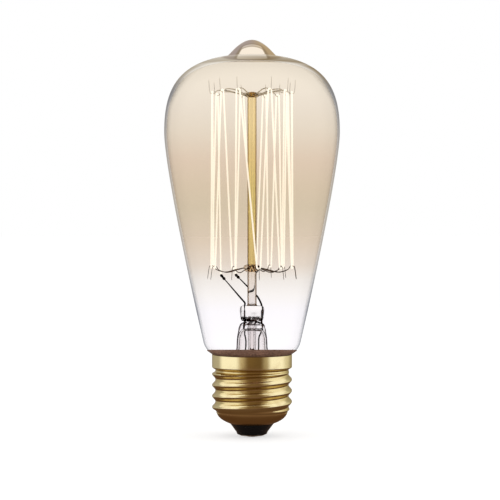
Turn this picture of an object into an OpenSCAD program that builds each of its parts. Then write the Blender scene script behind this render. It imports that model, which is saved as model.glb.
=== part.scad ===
// Teardrop filament lamp with a cage of upright strands and a medium screw cap.
// Millimetres, +Z up, origin on the underside of the centre contact, viewed along +Y.
// Everything inside the glass hangs on the stem: flare, press, arbor rod and two beads.

/* [Bulb] */
// Largest diameter of the bulb
bulb_d = 58; // [54:0.5:62]
// Overall length from the centre contact to the glass pip
overall_len = 130.9; // [126:0.1:140]
// Height at which the bulb is widest
widest_z = 100.5; // [92:0.5:106]
// Height of the bend where the neck tapers into the cap
neck_z = 31.8; // [30.5:0.1:36]
// Diameter of the bulb at that bend
neck_d = 32.4; // [30:0.1:36]
// Thickness of the bulb glass
glass_wall = 0.8; // [0.5:0.05:1.2]
// Height of the glass pip above the crown
pip_h = 5.7; // [3:0.1:7]
// Diameter of the glass pip at its foot
pip_d = 15.4; // [9:0.1:17]
// Thickness of the crown under the solid pip
crown_t = 2.1; // [1:0.1:3]

/* [Cap] */
// Outer diameter over the thread crests
thread_d = 26.45; // [26.05:0.05:26.45]
// Depth of the rolled thread
thread_depth = 1.1; // [0.8:0.05:1.3]
// Narrowness of the thread crests, where 1 is a plain wave
crest_power = 1.1; // [1:0.1:2]
// Pitch of the thread, seven turns to the inch
thread_pitch = 3.629; // [3.4:0.001:3.9]
// Outer diameter of the plain collar above the thread
collar_d = 26.3; // [26.2:0.05:27]
// Height of the collar rim above the contact
cap_h = 27.1; // [26:0.1:28]
// Length of the plain collar
collar_h = 4.4; // [2.5:0.1:5]
// Height at which the thread begins
thread_z = 8; // [8:0.1:9]
// Thickness of the brass sheet
brass_wall = 0.3; // [0.2:0.05:0.4]
// Diameter of the hole in the cap bottom
cap_hole_d = 14.8; // [13:0.1:16]
// Height of the lower edge of the brass
brass_z = 4.4; // [4:0.1:5]

/* [Contact] */
// Diameter of the insulator where it meets the contact
insulator_tip_d = 10; // [9:0.1:11]
// Height of the underside of the insulator
insulator_z = 0.75; // [0.6:0.05:1.2]
// Diameter of the centre contact plate
contact_d = 8.5; // [7:0.1:9]
// Thickness of the contact plate
contact_t = 0.4; // [0.3:0.05:0.6]
// Diameter of the solder on the contact
solder_d = 5; // [4:0.1:6.5]
// Diameter of the worn flat under the solder
solder_flat_d = 2.8; // [1.5:0.1:3.5]

/* [Stem] */
// Diameter of the arbor rod
rod_d = 3; // [2:0.1:4]
// Height of the top of the press, where the rod starts
press_top_z = 43.1; // [41:0.1:48]
// Height of the press
press_h = 5.1; // [4:0.1:7]
// Width of the press across the leads
press_w = 8; // [7.6:0.1:9.5]
// Thickness of the press
press_t = 3.6; // [3.2:0.1:4.6]
// Diameter of the flare tube below the press
flare_tube_d = 8.6; // [8.4:0.1:9.6]
// Diameter of the flare tube where it starts to open out
flare_mid_d = 10.2; // [9.8:0.1:11.4]
// Thickness of the flare glass
flare_wall = 0.7; // [0.5:0.05:0.9]
// Diameter of the exhaust tube
exhaust_d = 2.6; // [2.2:0.1:3]
// Bore of the exhaust tube
exhaust_bore = 1.3; // [0.8:0.1:1.6]
// Height of the sealed tip of the exhaust tube
exhaust_z = 12.5; // [12:0.5:16]

/* [Filament cage] */
// Distance from the crown of the bulb down to the dip in the upper hooks
cage_drop = 12.1; // [9:0.1:22]
// Height of the peak of the lower hooks
low_hook_z = 56.2; // [50:0.5:64]
// Radius of the cage at the top
top_cage_r = 13.2; // [11:0.1:15]
// Radius of the cage at the bottom
low_cage_r = 13.7; // [11:0.1:15]
// Diameter of the support wires
support_wire_d = 0.4; // [0.25:0.05:0.5]
// Diameter of the coiled filament
filament_d = 0.6; // [0.4:0.05:0.65]
// Air between a hook and the filament that hangs on it
hook_gap = 0.1; // [0.05:0.05:0.2]
// Length of the upturned ends of the upper supports
top_tail = 4.4; // [2:0.1:6]
// Length of the downturned ends of the lower supports
low_tail = 4.3; // [2:0.1:5]
// Diameter of the upper bead
top_bead_d = 5.1; // [4:0.1:7]
// Diameter of the lower bead
low_bead_d = 5.9; // [4:0.1:7]
// Depth of a support wire in its bead
wire_root = 0.8; // [0.5:0.1:0.9]

/* [Leads] */
// Diameter of the inner leads
lead_d = 0.45; // [0.4:0.05:0.7]
// Diameter of the seal wires in the press
seal_d = 0.5; // [0.3:0.05:0.6]
// Diameter of the outer leads
outer_d = 0.4; // [0.3:0.05:0.45]
// Diameter of the crimped clamps on the filament ends
clamp_d = 0.8; // [0.75:0.05:1.2]
// Length of the clamps
clamp_len = 2.6; // [2:0.1:5]
// Distance of the left lead from the axis in the press
left_lead_x = 2.4; // [2.2:0.1:3.2]
// Distance of the right lead from the axis in the press
right_lead_x = 3.2; // [2.4:0.1:3.3]

/* [Hidden] */
$fn = 64;
seat_gap = 0.05;
eps = 0.01;
bulb_r = bulb_d / 2;
neck_r = neck_d / 2;
crown_z = overall_len - pip_h;
crown_r = 9.2;
top_hook_z = crown_z - cage_drop;
pip_r = pip_d / 2;
thread_r = thread_d / 2;
root_r = thread_r - thread_depth;
collar_r = collar_d / 2;
collar_in_r = collar_r - brass_wall;
collar_z = cap_h - collar_h;

// Azimuths of the hooks, counted from the right and turning away from the viewer.
// They are uneven, as wires bent by hand are.
top_az = [152, 187, 223, 250, 296, 325, 355, 387, 409, 431, 465];
low_az = [168, 207, 244, 279, 313, 343, 372, 401, 424, 446];
left_clamp_az = 140;
right_clamp_az = 474;

TOP_NODES = [for (k = [1:len(top_az)]) str("top_support_", k)];
LOW_NODES = [for (k = [1:len(low_az)]) str("lower_support_", k)];

// Curves

function bez(p, t) = pow(1 - t, 3) * p[0] + 3 * pow(1 - t, 2) * t * p[1]
    + 3 * (1 - t) * t * t * p[2] + pow(t, 3) * p[3];
// Points of a cubic curve, without its first point
function arc_pts(p, n) = [for (i = [1:n]) bez(p, i / n)];
function reversed(p) = [for (i = [len(p) - 1:-1:0]) p[i]];
function unit(v) = v / norm(v);

// A smooth curve through hand-set points, n steps to each span
function at_or_mirror(p, i) = i < 0 ? 2 * p[0] - p[1]
    : i >= len(p) ? 2 * p[len(p) - 1] - p[len(p) - 2] : p[i];
function through(p, n) = concat([p[0]], [
    for (i = [0:len(p) - 2], k = [1:n])
        let (t = k / n, a = at_or_mirror(p, i - 1), b = p[i], c = p[i + 1],
             d = at_or_mirror(p, i + 2))
            0.5 * (2 * b + (c - a) * t + (2 * a - 5 * b + 4 * c - d) * t * t
                + (3 * b - a - 3 * c + d) * t * t * t)]);

// A wire of circular section along points, its frame carried along without twist
function tangents(p) = [for (i = [0:len(p) - 1])
    unit(p[min(i + 1, len(p) - 1)] - p[max(i - 1, 0)])];
function side_of(t) = unit(cross(t, abs(t[2]) < 0.9 ? [0, 0, 1] : [1, 0, 0]));
function carried(n, t) = unit(n - (n * t) * t);
function frames(t) = [for (i = 0, n = side_of(t[0]); i < len(t);
    i = i + 1, n = i < len(t) ? carried(n, t[i]) : n) n];

module wire(p, d, sides = 8) {
    t = tangents(p);
    n = frames(t);
    last = len(p) - 1;
    rings = [for (i = [0:last], k = [0:sides - 1])
        let (a = 360 * k / sides, b = cross(t[i], n[i]))
            p[i] + d / 2 * (cos(a) * n[i] + sin(a) * b)];
    walls = [for (i = [0:last - 1], k = [0:sides - 1])
        let (a = i * sides + k, b = i * sides + (k + 1) % sides)
            each [[a, a + sides, b], [b, a + sides, b + sides]]];
    first_cap = [for (k = [1:sides - 2]) [0, k, k + 1]];
    last_cap = [for (k = [1:sides - 2])
        [last * sides, last * sides + k + 1, last * sides + k]];
    polyhedron(rings, concat(walls, first_cap, last_cap));
}

// A point at radius r, azimuth a and height z
function polar(r, a, z) = [r * cos(a), r * sin(a), z];
function in_plane(path, a) = [for (q = path) polar(q[0], a, q[1])];

// Bulb: outer and inner profiles from the cap up to the pip

neck_in_cap_r = 12;
neck_low_r = 10.6;
neck_low_z = 20;
neck_step_z = 23.2;
neck_step_h = 1.4;
// Handles of the long flank and of the dome above it
flank_lean = 5.8;
flank_rise = 25;
flank_hold = 9.5;
dome_hold = 14.3;
dome_reach = 15;
dome_drop = 2.35;

flank = [[neck_r, neck_z], [neck_r + flank_lean, neck_z + flank_rise],
    [bulb_r, widest_z - flank_hold], [bulb_r, widest_z]];
dome = [[bulb_r, widest_z], [bulb_r, widest_z + dome_hold],
    [crown_r + dome_reach, crown_z - dome_drop], [crown_r, crown_z]];
// The pip rises from a small fillet on the crown, with nearly straight sides
pip_fillet = 0.4;
pip_foot = [[crown_r, crown_z], [crown_r - 0.9, crown_z + 0.08],
    [pip_r + 2 * pip_fillet, crown_z], [pip_r + pip_fillet, crown_z + 0.3]];
pip_top = [[pip_r + pip_fillet, crown_z + 0.3], [pip_r - 1.6, crown_z + 2.3],
    [pip_r * 0.45, overall_len], [0, overall_len]];
// The neck tapers to the rim of the cap and goes straight down inside it
taper = [[neck_r, neck_z], [neck_r - 0.5, cap_h + 1.9], [neck_in_cap_r + 2.1, cap_h + 0.2],
    [neck_in_cap_r, cap_h + 0.1]];

bulb_outer = concat(
    [[neck_low_r, neck_low_z], [neck_low_r, neck_step_z],
     [neck_in_cap_r, neck_step_z + neck_step_h]],
    reversed(concat([[neck_r, neck_z]], arc_pts(taper, 6))),
    arc_pts(flank, 16), arc_pts(dome, 16), arc_pts(pip_foot, 5), arc_pts(pip_top, 8));

in_flank = [for (q = flank) q - [glass_wall, 0]];
in_taper = [in_flank[0], [neck_r - 0.5 - glass_wall, cap_h + 2.3],
    [neck_in_cap_r + 2 - glass_wall, cap_h + 1.2], [neck_in_cap_r - glass_wall, cap_h + 0.3]];
// The inside of the crown is flat in the middle and rounds into the flank
in_flat_r = 6;
in_reach = dome_reach - 1.7;
in_top_z = crown_z - crown_t;
in_dome = [in_flank[3], dome[1] - [glass_wall, 0.1], [crown_r + in_reach, in_top_z],
    [in_flat_r, in_top_z]];
bulb_inner = concat(
    [[neck_low_r - glass_wall, neck_low_z], [neck_low_r - glass_wall, neck_step_z + 0.3],
     [neck_in_cap_r - glass_wall, neck_step_z + neck_step_h + 0.3]],
    reversed(concat([in_taper[0]], arc_pts(in_taper, 4))),
    arc_pts(in_flank, 16), arc_pts(in_dome, 16), [[0, in_top_z]]);

module bulb_glass() {
    color([0.93, 0.82, 0.62, 0.35])
        rotate_extrude($fn = 96)
            polygon(concat(bulb_outer, reversed(bulb_inner)));
}

// Stem: flared tube, pinched press, exhaust tube and arbor rod

waist_z = press_top_z - press_h;
waist_h = 2.4;
flare_r = flare_tube_d / 2;
flare_mid_z = 29.5;
flare_rim_h = 0.8;
exhaust_hole_z = waist_z - 0.85;

flare_side = [[flare_mid_d / 2, flare_mid_z], [flare_mid_d / 2 + 0.4, flare_mid_z - 4],
    [neck_low_r - 2.4, neck_low_z + 2.2],
    [neck_low_r - glass_wall - seat_gap, neck_low_z]];
function flare_outer() = concat(
    [[0, waist_z], [flare_r - 0.9, waist_z], [flare_r - 0.2, waist_z - 0.6],
     [flare_r, waist_z - 1.6], [flare_mid_d / 2 - 0.2, waist_z - 5],
     [flare_mid_d / 2, flare_mid_z]],
    arc_pts(flare_side, 8),
    [[neck_low_r, neck_low_z], [neck_low_r, neck_low_z - flare_rim_h]]);
function flare_inner() = concat(
    [[neck_low_r - 1.5, neck_low_z - flare_rim_h]],
    reversed([for (q = arc_pts(flare_side, 8)) if (q[1] > neck_low_z + 0.5)
        q - [flare_wall, 0.15]]),
    [[flare_mid_d / 2 - flare_wall, flare_mid_z], [flare_mid_d / 2 - 0.2 - flare_wall, waist_z - 5],
     [flare_r - flare_wall, waist_z - waist_h - 0.5], [flare_r - flare_wall - 0.6, waist_z - waist_h],
     [0, waist_z - waist_h]]);

module lead_holes(d, z, h) {
    for (x = [-left_lead_x, right_lead_x])
        translate([x, 0, z])
            cylinder(d = d + 2 * seat_gap, h = h);
}

module stem_flare() {
    color([0.88, 0.90, 0.90, 0.4])
        difference() {
            rotate_extrude()
                polygon(concat(flare_outer(), flare_inner()));
            translate([0, 0, waist_z - waist_h - eps])
                cylinder(d = exhaust_d + 2 * seat_gap, h = waist_h - 1.1);
            translate([0, 0, waist_z - waist_h - eps])
                cylinder(d = exhaust_bore, h = waist_h - 0.6);
            translate([0, 0, exhaust_hole_z])
                rotate([90, 0, 0])
                    cylinder(d = exhaust_bore, h = flare_tube_d);
            lead_holes(seal_d, waist_z - waist_h - 1, waist_h + 2);
        }
}

rod_seat = 0.6;

module stem_press() {
    color([0.90, 0.92, 0.92, 0.4])
        difference() {
            translate([0, 0, waist_z])
                linear_extrude(press_h)
                    union() {
                        square([press_w - press_t, press_t], center = true);
                        for (side = [-1, 1])
                            translate([side * (press_w - press_t) / 2, 0])
                                circle(d = press_t);
                    }
            translate([0, 0, press_top_z - rod_seat])
                cylinder(d = rod_d + 2 * seat_gap, h = rod_seat + 1);
            lead_holes(seal_d, waist_z - 1, press_h + 2);
            lead_holes(lead_d, press_top_z - lead_seat, lead_seat + 1);
        }
}

module exhaust_tube() {
    top = waist_z - 1.1 - seat_gap;
    tip_r = exhaust_d / 2;
    color([0.88, 0.90, 0.90, 0.4])
        difference() {
            union() {
                translate([0, 0, exhaust_z + tip_r])
                    cylinder(d = exhaust_d, h = top - exhaust_z - tip_r);
                translate([0, 0, exhaust_z + tip_r])
                    sphere(d = exhaust_d);
            }
            translate([0, 0, exhaust_z + 2])
                cylinder(d = exhaust_bore, h = top);
        }
}

top_bead_z = top_hook_z - 0.4;
top_bead_h = 1.7;
low_bead_z = low_hook_z - 0.7;
low_bead_h = 2.4;
rod_top_z = top_bead_z + top_bead_h / 2 + 0.2;

module arbor_rod() {
    rod_z = press_top_z - rod_seat + seat_gap;
    color([0.90, 0.72, 0.30, 0.6])
        translate([0, 0, rod_z])
            cylinder(d = rod_d, h = rod_top_z - rod_z);
}

module wire_sockets(azimuths, bead_d, z) {
    for (a = azimuths)
        rotate([0, 0, a])
            translate([bead_d / 2 - wire_root - seat_gap, 0, z])
                rotate([0, 90, 0])
                    cylinder(d = support_wire_d + 2 * seat_gap, h = bead_d, $fn = 16);
}

module top_bead() {
    r = top_bead_d / 2;
    h = top_bead_h / 2;
    color([0.50, 0.30, 0.10])
        difference() {
            translate([0, 0, top_bead_z])
                rotate_extrude()
                    polygon([[rod_d / 2 + seat_gap, -h], [r - 0.7, -h], [r - 0.1, -h + 0.5],
                        [r, 0], [r - 0.1, h - 0.3], [r - 0.4, h], [rod_d / 2 + seat_gap, h]]);
            wire_sockets(top_az, top_bead_d, top_bead_z);
        }
}

module lower_bead() {
    r = low_bead_d / 2;
    h = low_bead_h / 2;
    color([0.60, 0.36, 0.14])
        difference() {
            translate([0, 0, low_bead_z])
                rotate_extrude()
                    polygon([[rod_d / 2 + seat_gap, -h], [r - 0.9, -h], [r - 0.6, -h + 0.3],
                        [r - 0.55, -0.5], [r - 0.1, -0.35], [r, 0], [r - 0.1, 0.4],
                        [r - 0.7, h - 0.3], [r - 1, h], [rod_d / 2 + seat_gap, h]]);
            wire_sockets(low_az, low_bead_d, low_bead_z);
        }
}

// Support wires: an arm out of the bead, a hook under or over the filament, a free end.
// Each is a curve through points in its own upright plane.
arm_start = 0.3;
arm_bow = 0.5;
top_arm_rise = 0.95;
top_arm_end = 1.9;
low_arm_dip = 2;
low_arm_end = 1.6;
low_arm_drop = 1.2;
hook_in = 0.6;
hook_out = 0.5;
tail_foot_r = 0.9;
tail_foot_h = 0.9;
top_tail_lean = 1.15;
low_tail_lean = 1.4;

module top_support(a) {
    root = top_bead_d / 2;
    path = [[root - wire_root, top_bead_z], [root + arm_start, top_bead_z],
        [top_cage_r * 0.35, top_bead_z + arm_bow], [top_cage_r * 0.62, top_hook_z + top_arm_rise],
        [top_cage_r - top_arm_end, top_hook_z + top_arm_rise],
        [top_cage_r - hook_in, top_hook_z + eps], [top_cage_r + hook_out, top_hook_z + eps],
        [top_cage_r + tail_foot_r, top_hook_z + tail_foot_h],
        [top_cage_r + top_tail_lean, top_hook_z + top_tail]];
    color([0.30, 0.29, 0.27])
        wire(in_plane(through(path, 2), a), support_wire_d, 6);
}

module lower_support(a) {
    root = low_bead_d / 2;
    path = [[root - wire_root, low_bead_z], [root + arm_start, low_bead_z],
        [low_cage_r * 0.4, low_bead_z - arm_bow], [low_cage_r * 0.66, low_hook_z - low_arm_dip],
        [low_cage_r - low_arm_end, low_hook_z - low_arm_drop],
        [low_cage_r - hook_in, low_hook_z - eps], [low_cage_r + hook_out, low_hook_z - eps],
        [low_cage_r + tail_foot_r, low_hook_z - tail_foot_h],
        [low_cage_r + low_tail_lean, low_hook_z - low_tail]];
    color([0.24, 0.22, 0.20])
        wire(in_plane(through(path, 2), a), support_wire_d, 6);
}

// Filament: one unbroken zigzag from the left clamp, over and under every hook in turn

turn_r = (support_wire_d + filament_d) / 2 + hook_gap;
turn_steps = 4;
// The clamps hold the filament ends below the lower hooks
clamp_drop = 3.1;
clamp_z = low_hook_z - clamp_drop;

// Half a turn round a hook: up = 1 over an upper hook, up = -1 under a lower hook
function half_turn(r, a, z, up) = [for (k = [0:turn_steps])
    let (u = 180 - 180 * k / turn_steps, side = turn_r * cos(u))
        polar(r, a, z + up * turn_r * sin(u)) + side * [-sin(a), cos(a), 0]];
function hooks(k) = concat(half_turn(top_cage_r, top_az[k], top_hook_z, 1),
    k < len(low_az) ? half_turn(low_cage_r, low_az[k], low_hook_z, -1) : []);

left_tip = polar(low_cage_r, left_clamp_az, clamp_z);
right_tip = polar(low_cage_r, right_clamp_az, clamp_z);
filament_path = concat([left_tip + [0, 0, clamp_d / 2 + seat_gap]],
    [for (k = [0:len(top_az) - 1]) each hooks(k)],
    [right_tip + [0, 0, clamp_d / 2 + seat_gap]]);

module filament() {
    color([1.00, 0.93, 0.72])
        wire(filament_path, filament_d, 6);
}

// Least gap between strands, on points spread along every pair of strands
function strand(k) = let (n = turn_steps + 1, i = k * n)
    [filament_path[i], filament_path[i + 1]];
function on(s, t) = s[0] + (s[1] - s[0]) * t;
strands = len(top_az) + len(low_az) + 1;
gap_steps = 12;
least_gap = min([for (i = [0:strands - 2], j = [i + 1:strands - 1],
    u = [0:gap_steps], v = [0:gap_steps])
        norm(on(strand(i), u / gap_steps) - on(strand(j), v / gap_steps))]) - filament_d;
filament_len = strands * norm(strand(1)[1] - strand(1)[0]);
echo(strands = strands, least_gap = least_gap, filament_len = filament_len);

// Leads

lead_seat = 1.2;
left_root = [-left_lead_x, 0, press_top_z - lead_seat + seat_gap];
right_root = [right_lead_x, 0, press_top_z - lead_seat + seat_gap];
left_bend = [-left_lead_x, 0, press_top_z + 1];
right_bend = [right_lead_x - 0.4, 0.3, press_top_z + 1.2];
right_arc = [right_lead_x - 1.3, 1.4, press_top_z + 2.8];
// The right lead passes behind the rod, with air between them
right_pass = [0.4, rod_d / 2 + lead_d / 2 + 1, press_top_z + 4.4];
left_way = unit(left_tip - left_bend);
right_way = unit(right_tip - right_pass);
left_clamp_foot = left_tip - left_way * clamp_len;
right_clamp_foot = right_tip - right_way * clamp_len;

module clamp(foot, tip) {
    way = tip - foot;
    color([0.06, 0.05, 0.05])
        translate(foot)
            rotate([0, acos(way[2] / norm(way)), atan2(way[1], way[0])])
                cylinder(d = clamp_d, h = norm(way));
}

module clamp_left() {
    clamp(left_clamp_foot, left_tip);
}

module clamp_right() {
    clamp(right_clamp_foot, right_tip);
}

module inner_lead_left() {
    color([0.08, 0.07, 0.07])
        wire(concat([left_root], through([left_root + [0, 0, 1.3], left_bend,
            left_bend + left_way * 2], 3), [left_clamp_foot - left_way * seat_gap]), lead_d);
}

module inner_lead_right() {
    color([0.08, 0.07, 0.07])
        wire(concat([right_root], through([right_root + [0, 0, 1.3], right_bend,
            right_arc, right_pass, right_pass + right_way], 4),
            [right_clamp_foot - right_way * seat_gap]), lead_d);
}

module seal_wire(x) {
    foot_z = waist_z - waist_h - 0.2;
    color([0.55, 0.25, 0.18])
        translate([x, 0, foot_z])
            cylinder(d = seal_d, h = press_top_z - lead_seat - foot_z);
}

module seal_wire_left() {
    seal_wire(-left_lead_x);
}

module seal_wire_right() {
    seal_wire(right_lead_x);
}

lead_start_z = waist_z - waist_h - 0.2 - seat_gap;
side_az = 60;
rim_gap_r = (neck_in_cap_r + collar_in_r) / 2;
// The side lead turns under the foot of the flare
under_rim_z = neck_low_z - flare_rim_h - 1.4;

module centre_lead() {
    path = [[-left_lead_x, 0, lead_start_z], [-left_lead_x, 0, lead_start_z - 1.6],
        [-2, 0, flare_mid_z + 1.5], [-2.4, 0, neck_low_z + 4], [-2.3, 0, exhaust_z + 3.5],
        [-1.3, 0, exhaust_z - 0.8],
        [0, 0, exhaust_z - 3.5], [0, 0, contact_t + insulator_z + 1]];
    color([0.62, 0.62, 0.62])
        wire(concat(through(path, 3), [[0, 0, solder_h + seat_gap]]), outer_d);
}

module side_lead() {
    path = concat([[right_lead_x, 0, lead_start_z], [right_lead_x - 0.3, 0, lead_start_z - 1.2],
        [2.3, 0, flare_mid_z + 3.1], [2.2, 0.6, flare_mid_z - 0.5]],
        in_plane([[4, neck_low_z + 4], [5.5, neck_low_z], [8, under_rim_z],
        [neck_low_r - 0.4, under_rim_z], [neck_low_r + 0.5, neck_low_z - flare_rim_h],
        [neck_low_r + 0.5, neck_step_z - 0.4], [rim_gap_r, neck_step_z + neck_step_h + 0.2],
        [rim_gap_r, cap_h - 0.4], [rim_gap_r, cap_h]], side_az));
    color([0.62, 0.62, 0.62])
        wire(through(path, 2), outer_d);
}

// Cap: brass shell with its rolled thread, black glass insulator, contact and solders

thread_top_z = collar_z - 0.7;
runout = 0.9;
thread_sides = 40;
// Plain rings that the ends of the thread run into
land_h = 0.3;
land_skin = 0.04;
land_out_r = root_r + land_skin;
land_in_r = root_r * cos(180 / thread_sides) - brass_wall - land_skin;
row_h = thread_pitch / 8;
thread_rows = round((thread_top_z - thread_z) / row_h);
// Height of a crest at azimuth 0
crest_z = 18.79;

function eased(t) = let (u = min(max(t, 0), 1)) u * u * (3 - 2 * u);
function swell(z) = min(eased((z - thread_z - land_h) / runout),
    eased((thread_top_z - land_h - z) / runout));
function thread_at(a, z) = root_r + thread_depth * swell(z)
    * pow(0.5 + 0.5 * cos(360 * (z - crest_z) / thread_pitch - a), crest_power);

module rolled_thread() {
    n = thread_sides;
    rows = thread_rows;
    points = [for (wall = [0, brass_wall], i = [0:rows], k = [0:n - 1])
        let (z = thread_z + (thread_top_z - thread_z) * i / rows, a = 360 * k / n)
            polar(thread_at(a, z) - wall, a, z)];
    inner = (rows + 1) * n;
    walls = [for (i = [0:rows - 1], k = [0:n - 1])
        let (a = i * n + k, b = i * n + (k + 1) % n)
            each [[a, a + n, b], [b, a + n, b + n],
                [inner + a, inner + b, inner + a + n], [inner + b, inner + b + n, inner + a + n]]];
    rims = [for (k = [0:n - 1]) let (m = (k + 1) % n, t = rows * n)
        each [[k, m, inner + k], [m, inner + m, inner + k],
            [t + k, inner + t + k, t + m], [t + m, inner + t + k, inner + t + m]]];
    polyhedron(points, concat(walls, rims));
}

bowl = [[land_out_r, thread_z], [root_r - 0.45, thread_z - 1.6], [cap_hole_d / 2 + 2, brass_z + 0.75],
    [cap_hole_d / 2, brass_z]];
bowl_outer = concat([bowl[0]], arc_pts(bowl, 8));
rim_lip = 0.12;

module cap_shell() {
    color([0.80, 0.62, 0.28]) {
        rolled_thread();
        rotate_extrude($fn = 96)
            polygon([[land_in_r, thread_top_z - land_h], [land_out_r, thread_top_z - land_h],
                [land_out_r, thread_top_z], [collar_r - rim_lip, collar_z - rim_lip],
                [collar_r, collar_z + rim_lip], [collar_r, cap_h - rim_lip],
                [collar_r - rim_lip, cap_h], [collar_in_r, cap_h], [collar_in_r, collar_z + 0.2],
                [land_in_r, thread_top_z + 0.1]]);
        rotate_extrude($fn = 96)
            polygon(concat([[land_out_r, thread_z + land_h]], bowl_outer,
                reversed([for (q = bowl_outer)
                    if (q[1] < thread_z - eps) q + [-brass_wall, brass_wall * 0.6]]),
                [[land_in_r, thread_z], [land_in_r, thread_z + land_h]]));
    }
}

solder_h = insulator_z - contact_t + 0.1;
plate_z = solder_h;
insulator_top_z = thread_z + 0.4;
lead_hole_d = 1.2;

module cap_insulator() {
    skin = brass_wall + seat_gap;
    follow = reversed([for (q = bowl_outer) if (q[1] < thread_z - 0.1) q + [-skin, skin * 0.7]]);
    color([0.03, 0.03, 0.035])
        rotate_extrude()
            polygon(concat(
                [[lead_hole_d / 2, plate_z + contact_t + seat_gap],
                 [contact_d / 2 + seat_gap, plate_z + contact_t + seat_gap],
                 [contact_d / 2 + seat_gap, insulator_z], [insulator_tip_d / 2 - 0.4, insulator_z],
                 [insulator_tip_d / 2, insulator_z + 0.3], [insulator_tip_d / 2 + 0.15, insulator_z + 0.7],
                 [cap_hole_d / 2 - 0.15, brass_z - 0.1], [cap_hole_d / 2 - 0.35, brass_z + 0.1]],
                follow,
                [[root_r - skin - 0.6, insulator_top_z], [4, insulator_top_z],
                 [2.2, insulator_top_z - 1.5], [lead_hole_d / 2, insulator_top_z - 3.5]]));
}

module contact_plate() {
    color([0.55, 0.53, 0.48])
        translate([0, 0, plate_z])
            rotate_extrude()
                polygon([[lead_hole_d / 2, 0], [contact_d / 2 - 0.2, 0], [contact_d / 2, 0.15],
                    [contact_d / 2, contact_t], [lead_hole_d / 2, contact_t]]);
}

module contact_solder() {
    color([0.45, 0.45, 0.47])
        rotate_extrude()
            polygon([[0, 0], [solder_flat_d / 2, 0], [solder_d * 0.4, solder_h * 0.25],
                [solder_d * 0.47, solder_h * 0.6], [solder_d / 2, solder_h - eps],
                [0, solder_h - eps]]);
}

solder_arc = 9;
// Room in the cement for the solder
solder_notch = 2.6;

module rim_solder() {
    color([0.60, 0.60, 0.62])
        rotate([0, 0, side_az - solder_arc / 2])
            rotate_extrude(angle = solder_arc)
                polygon([[rim_gap_r + outer_d / 2, cap_h + seat_gap], [collar_r - 0.1, cap_h + seat_gap],
                    [collar_r - 0.2, cap_h + 0.2], [rim_gap_r + outer_d / 2, cap_h + 0.12]]);
}

// The cement fills the cap round the neck and squeezes up under its taper as a thin lip
lip_steps = 6;
lip_pts = [for (i = [lip_steps / 2:lip_steps]) bez(taper, i / lip_steps) + [seat_gap, -seat_gap]];
lip_t = 0.25;

module cement_ring() {
    out_low = root_r - brass_wall - 0.1;
    out_top = collar_in_r - seat_gap;
    color([0.30, 0.18, 0.10])
        difference() {
            rotate_extrude()
                polygon([[neck_low_r + seat_gap, neck_low_z + 0.4], [out_low, neck_low_z + 0.4],
                    [out_low, thread_top_z + 0.2], [out_top, collar_z + 0.4], [out_top, cap_h + seat_gap],
                    [out_top + lip_t, cap_h + seat_gap], lip_pts[1] + [lip_t, -lip_t],
                    lip_pts[0] + [0.1, -0.1], each lip_pts,
                    [neck_in_cap_r + seat_gap, neck_step_z + neck_step_h],
                    [neck_low_r + seat_gap, neck_step_z]]);
            rotate([0, 0, side_az]) {
                translate([neck_low_r - 1, -outer_d, neck_low_z])
                    cube([collar_r, 2 * outer_d, cap_h]);
                translate([neck_in_cap_r, -solder_notch / 2, cap_h - 0.2])
                    cube([collar_r, solder_notch, cap_h]);
            }
        }
}

bulb_glass();
stem_flare();
stem_press();
exhaust_tube();
arbor_rod();
top_bead();
lower_bead();
filament();
clamp_left();
clamp_right();
inner_lead_left();
inner_lead_right();
seal_wire_left();
seal_wire_right();
centre_lead();
side_lead();
cap_shell();
cap_insulator();
contact_plate();
contact_solder();
rim_solder();
cement_ring();
for (k = [0:len(top_az) - 1])
    top_support(top_az[k]);
for (k = [0:len(low_az) - 1])
    lower_support(low_az[k]);
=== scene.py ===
"""Looks of a teardrop filament lamp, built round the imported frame.

Sizes in the lamp's classes are millimetres unless a name says otherwise, and meshes are in metres.
A point of a profile is a pair of radius and height.
"""

import logging
import math
from collections.abc import Callable, Sequence
from dataclasses import dataclass, field
from enum import Enum

import bmesh
import bpy
from mathutils import Matrix, Vector, noise


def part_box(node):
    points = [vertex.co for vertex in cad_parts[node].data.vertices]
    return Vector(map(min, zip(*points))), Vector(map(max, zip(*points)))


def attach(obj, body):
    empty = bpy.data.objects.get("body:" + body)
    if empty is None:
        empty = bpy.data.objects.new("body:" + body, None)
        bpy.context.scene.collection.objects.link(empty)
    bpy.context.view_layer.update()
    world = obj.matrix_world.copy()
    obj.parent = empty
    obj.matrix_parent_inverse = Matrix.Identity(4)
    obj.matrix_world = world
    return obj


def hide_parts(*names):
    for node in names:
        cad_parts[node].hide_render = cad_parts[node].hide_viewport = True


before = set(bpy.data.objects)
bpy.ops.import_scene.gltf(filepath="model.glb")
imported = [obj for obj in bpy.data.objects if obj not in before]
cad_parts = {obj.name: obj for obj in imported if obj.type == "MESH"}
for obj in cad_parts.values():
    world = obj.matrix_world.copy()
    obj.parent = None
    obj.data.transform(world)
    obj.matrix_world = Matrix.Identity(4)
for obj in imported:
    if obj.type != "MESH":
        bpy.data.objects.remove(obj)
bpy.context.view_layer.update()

LOG = logging.getLogger("lamp")
MM = 0.001
WELD = 1e-7
BODY = "root"
WHITE = (1.0, 1.0, 1.0)

# Marks on a piece's vertices, which its finish reads: the pip, the outer skin, painted shade on faces that
# look down, and painted dark edges on the press and the rod
PIP, SKIN, DOWN_SHADE, EDGE_SHADE = "pip", "skin", "under", "edge_shade_mask"

Form = bmesh.types.BMesh
Socket = bpy.types.NodeSocket
Point = tuple[float, float]
Ends = tuple[float, float]
Colour = tuple[float, float, float]
Stops = Sequence[tuple[float, Colour]]
Radii = float | Sequence[float]
Value = Socket | float | Colour


# Curves and spans


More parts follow.
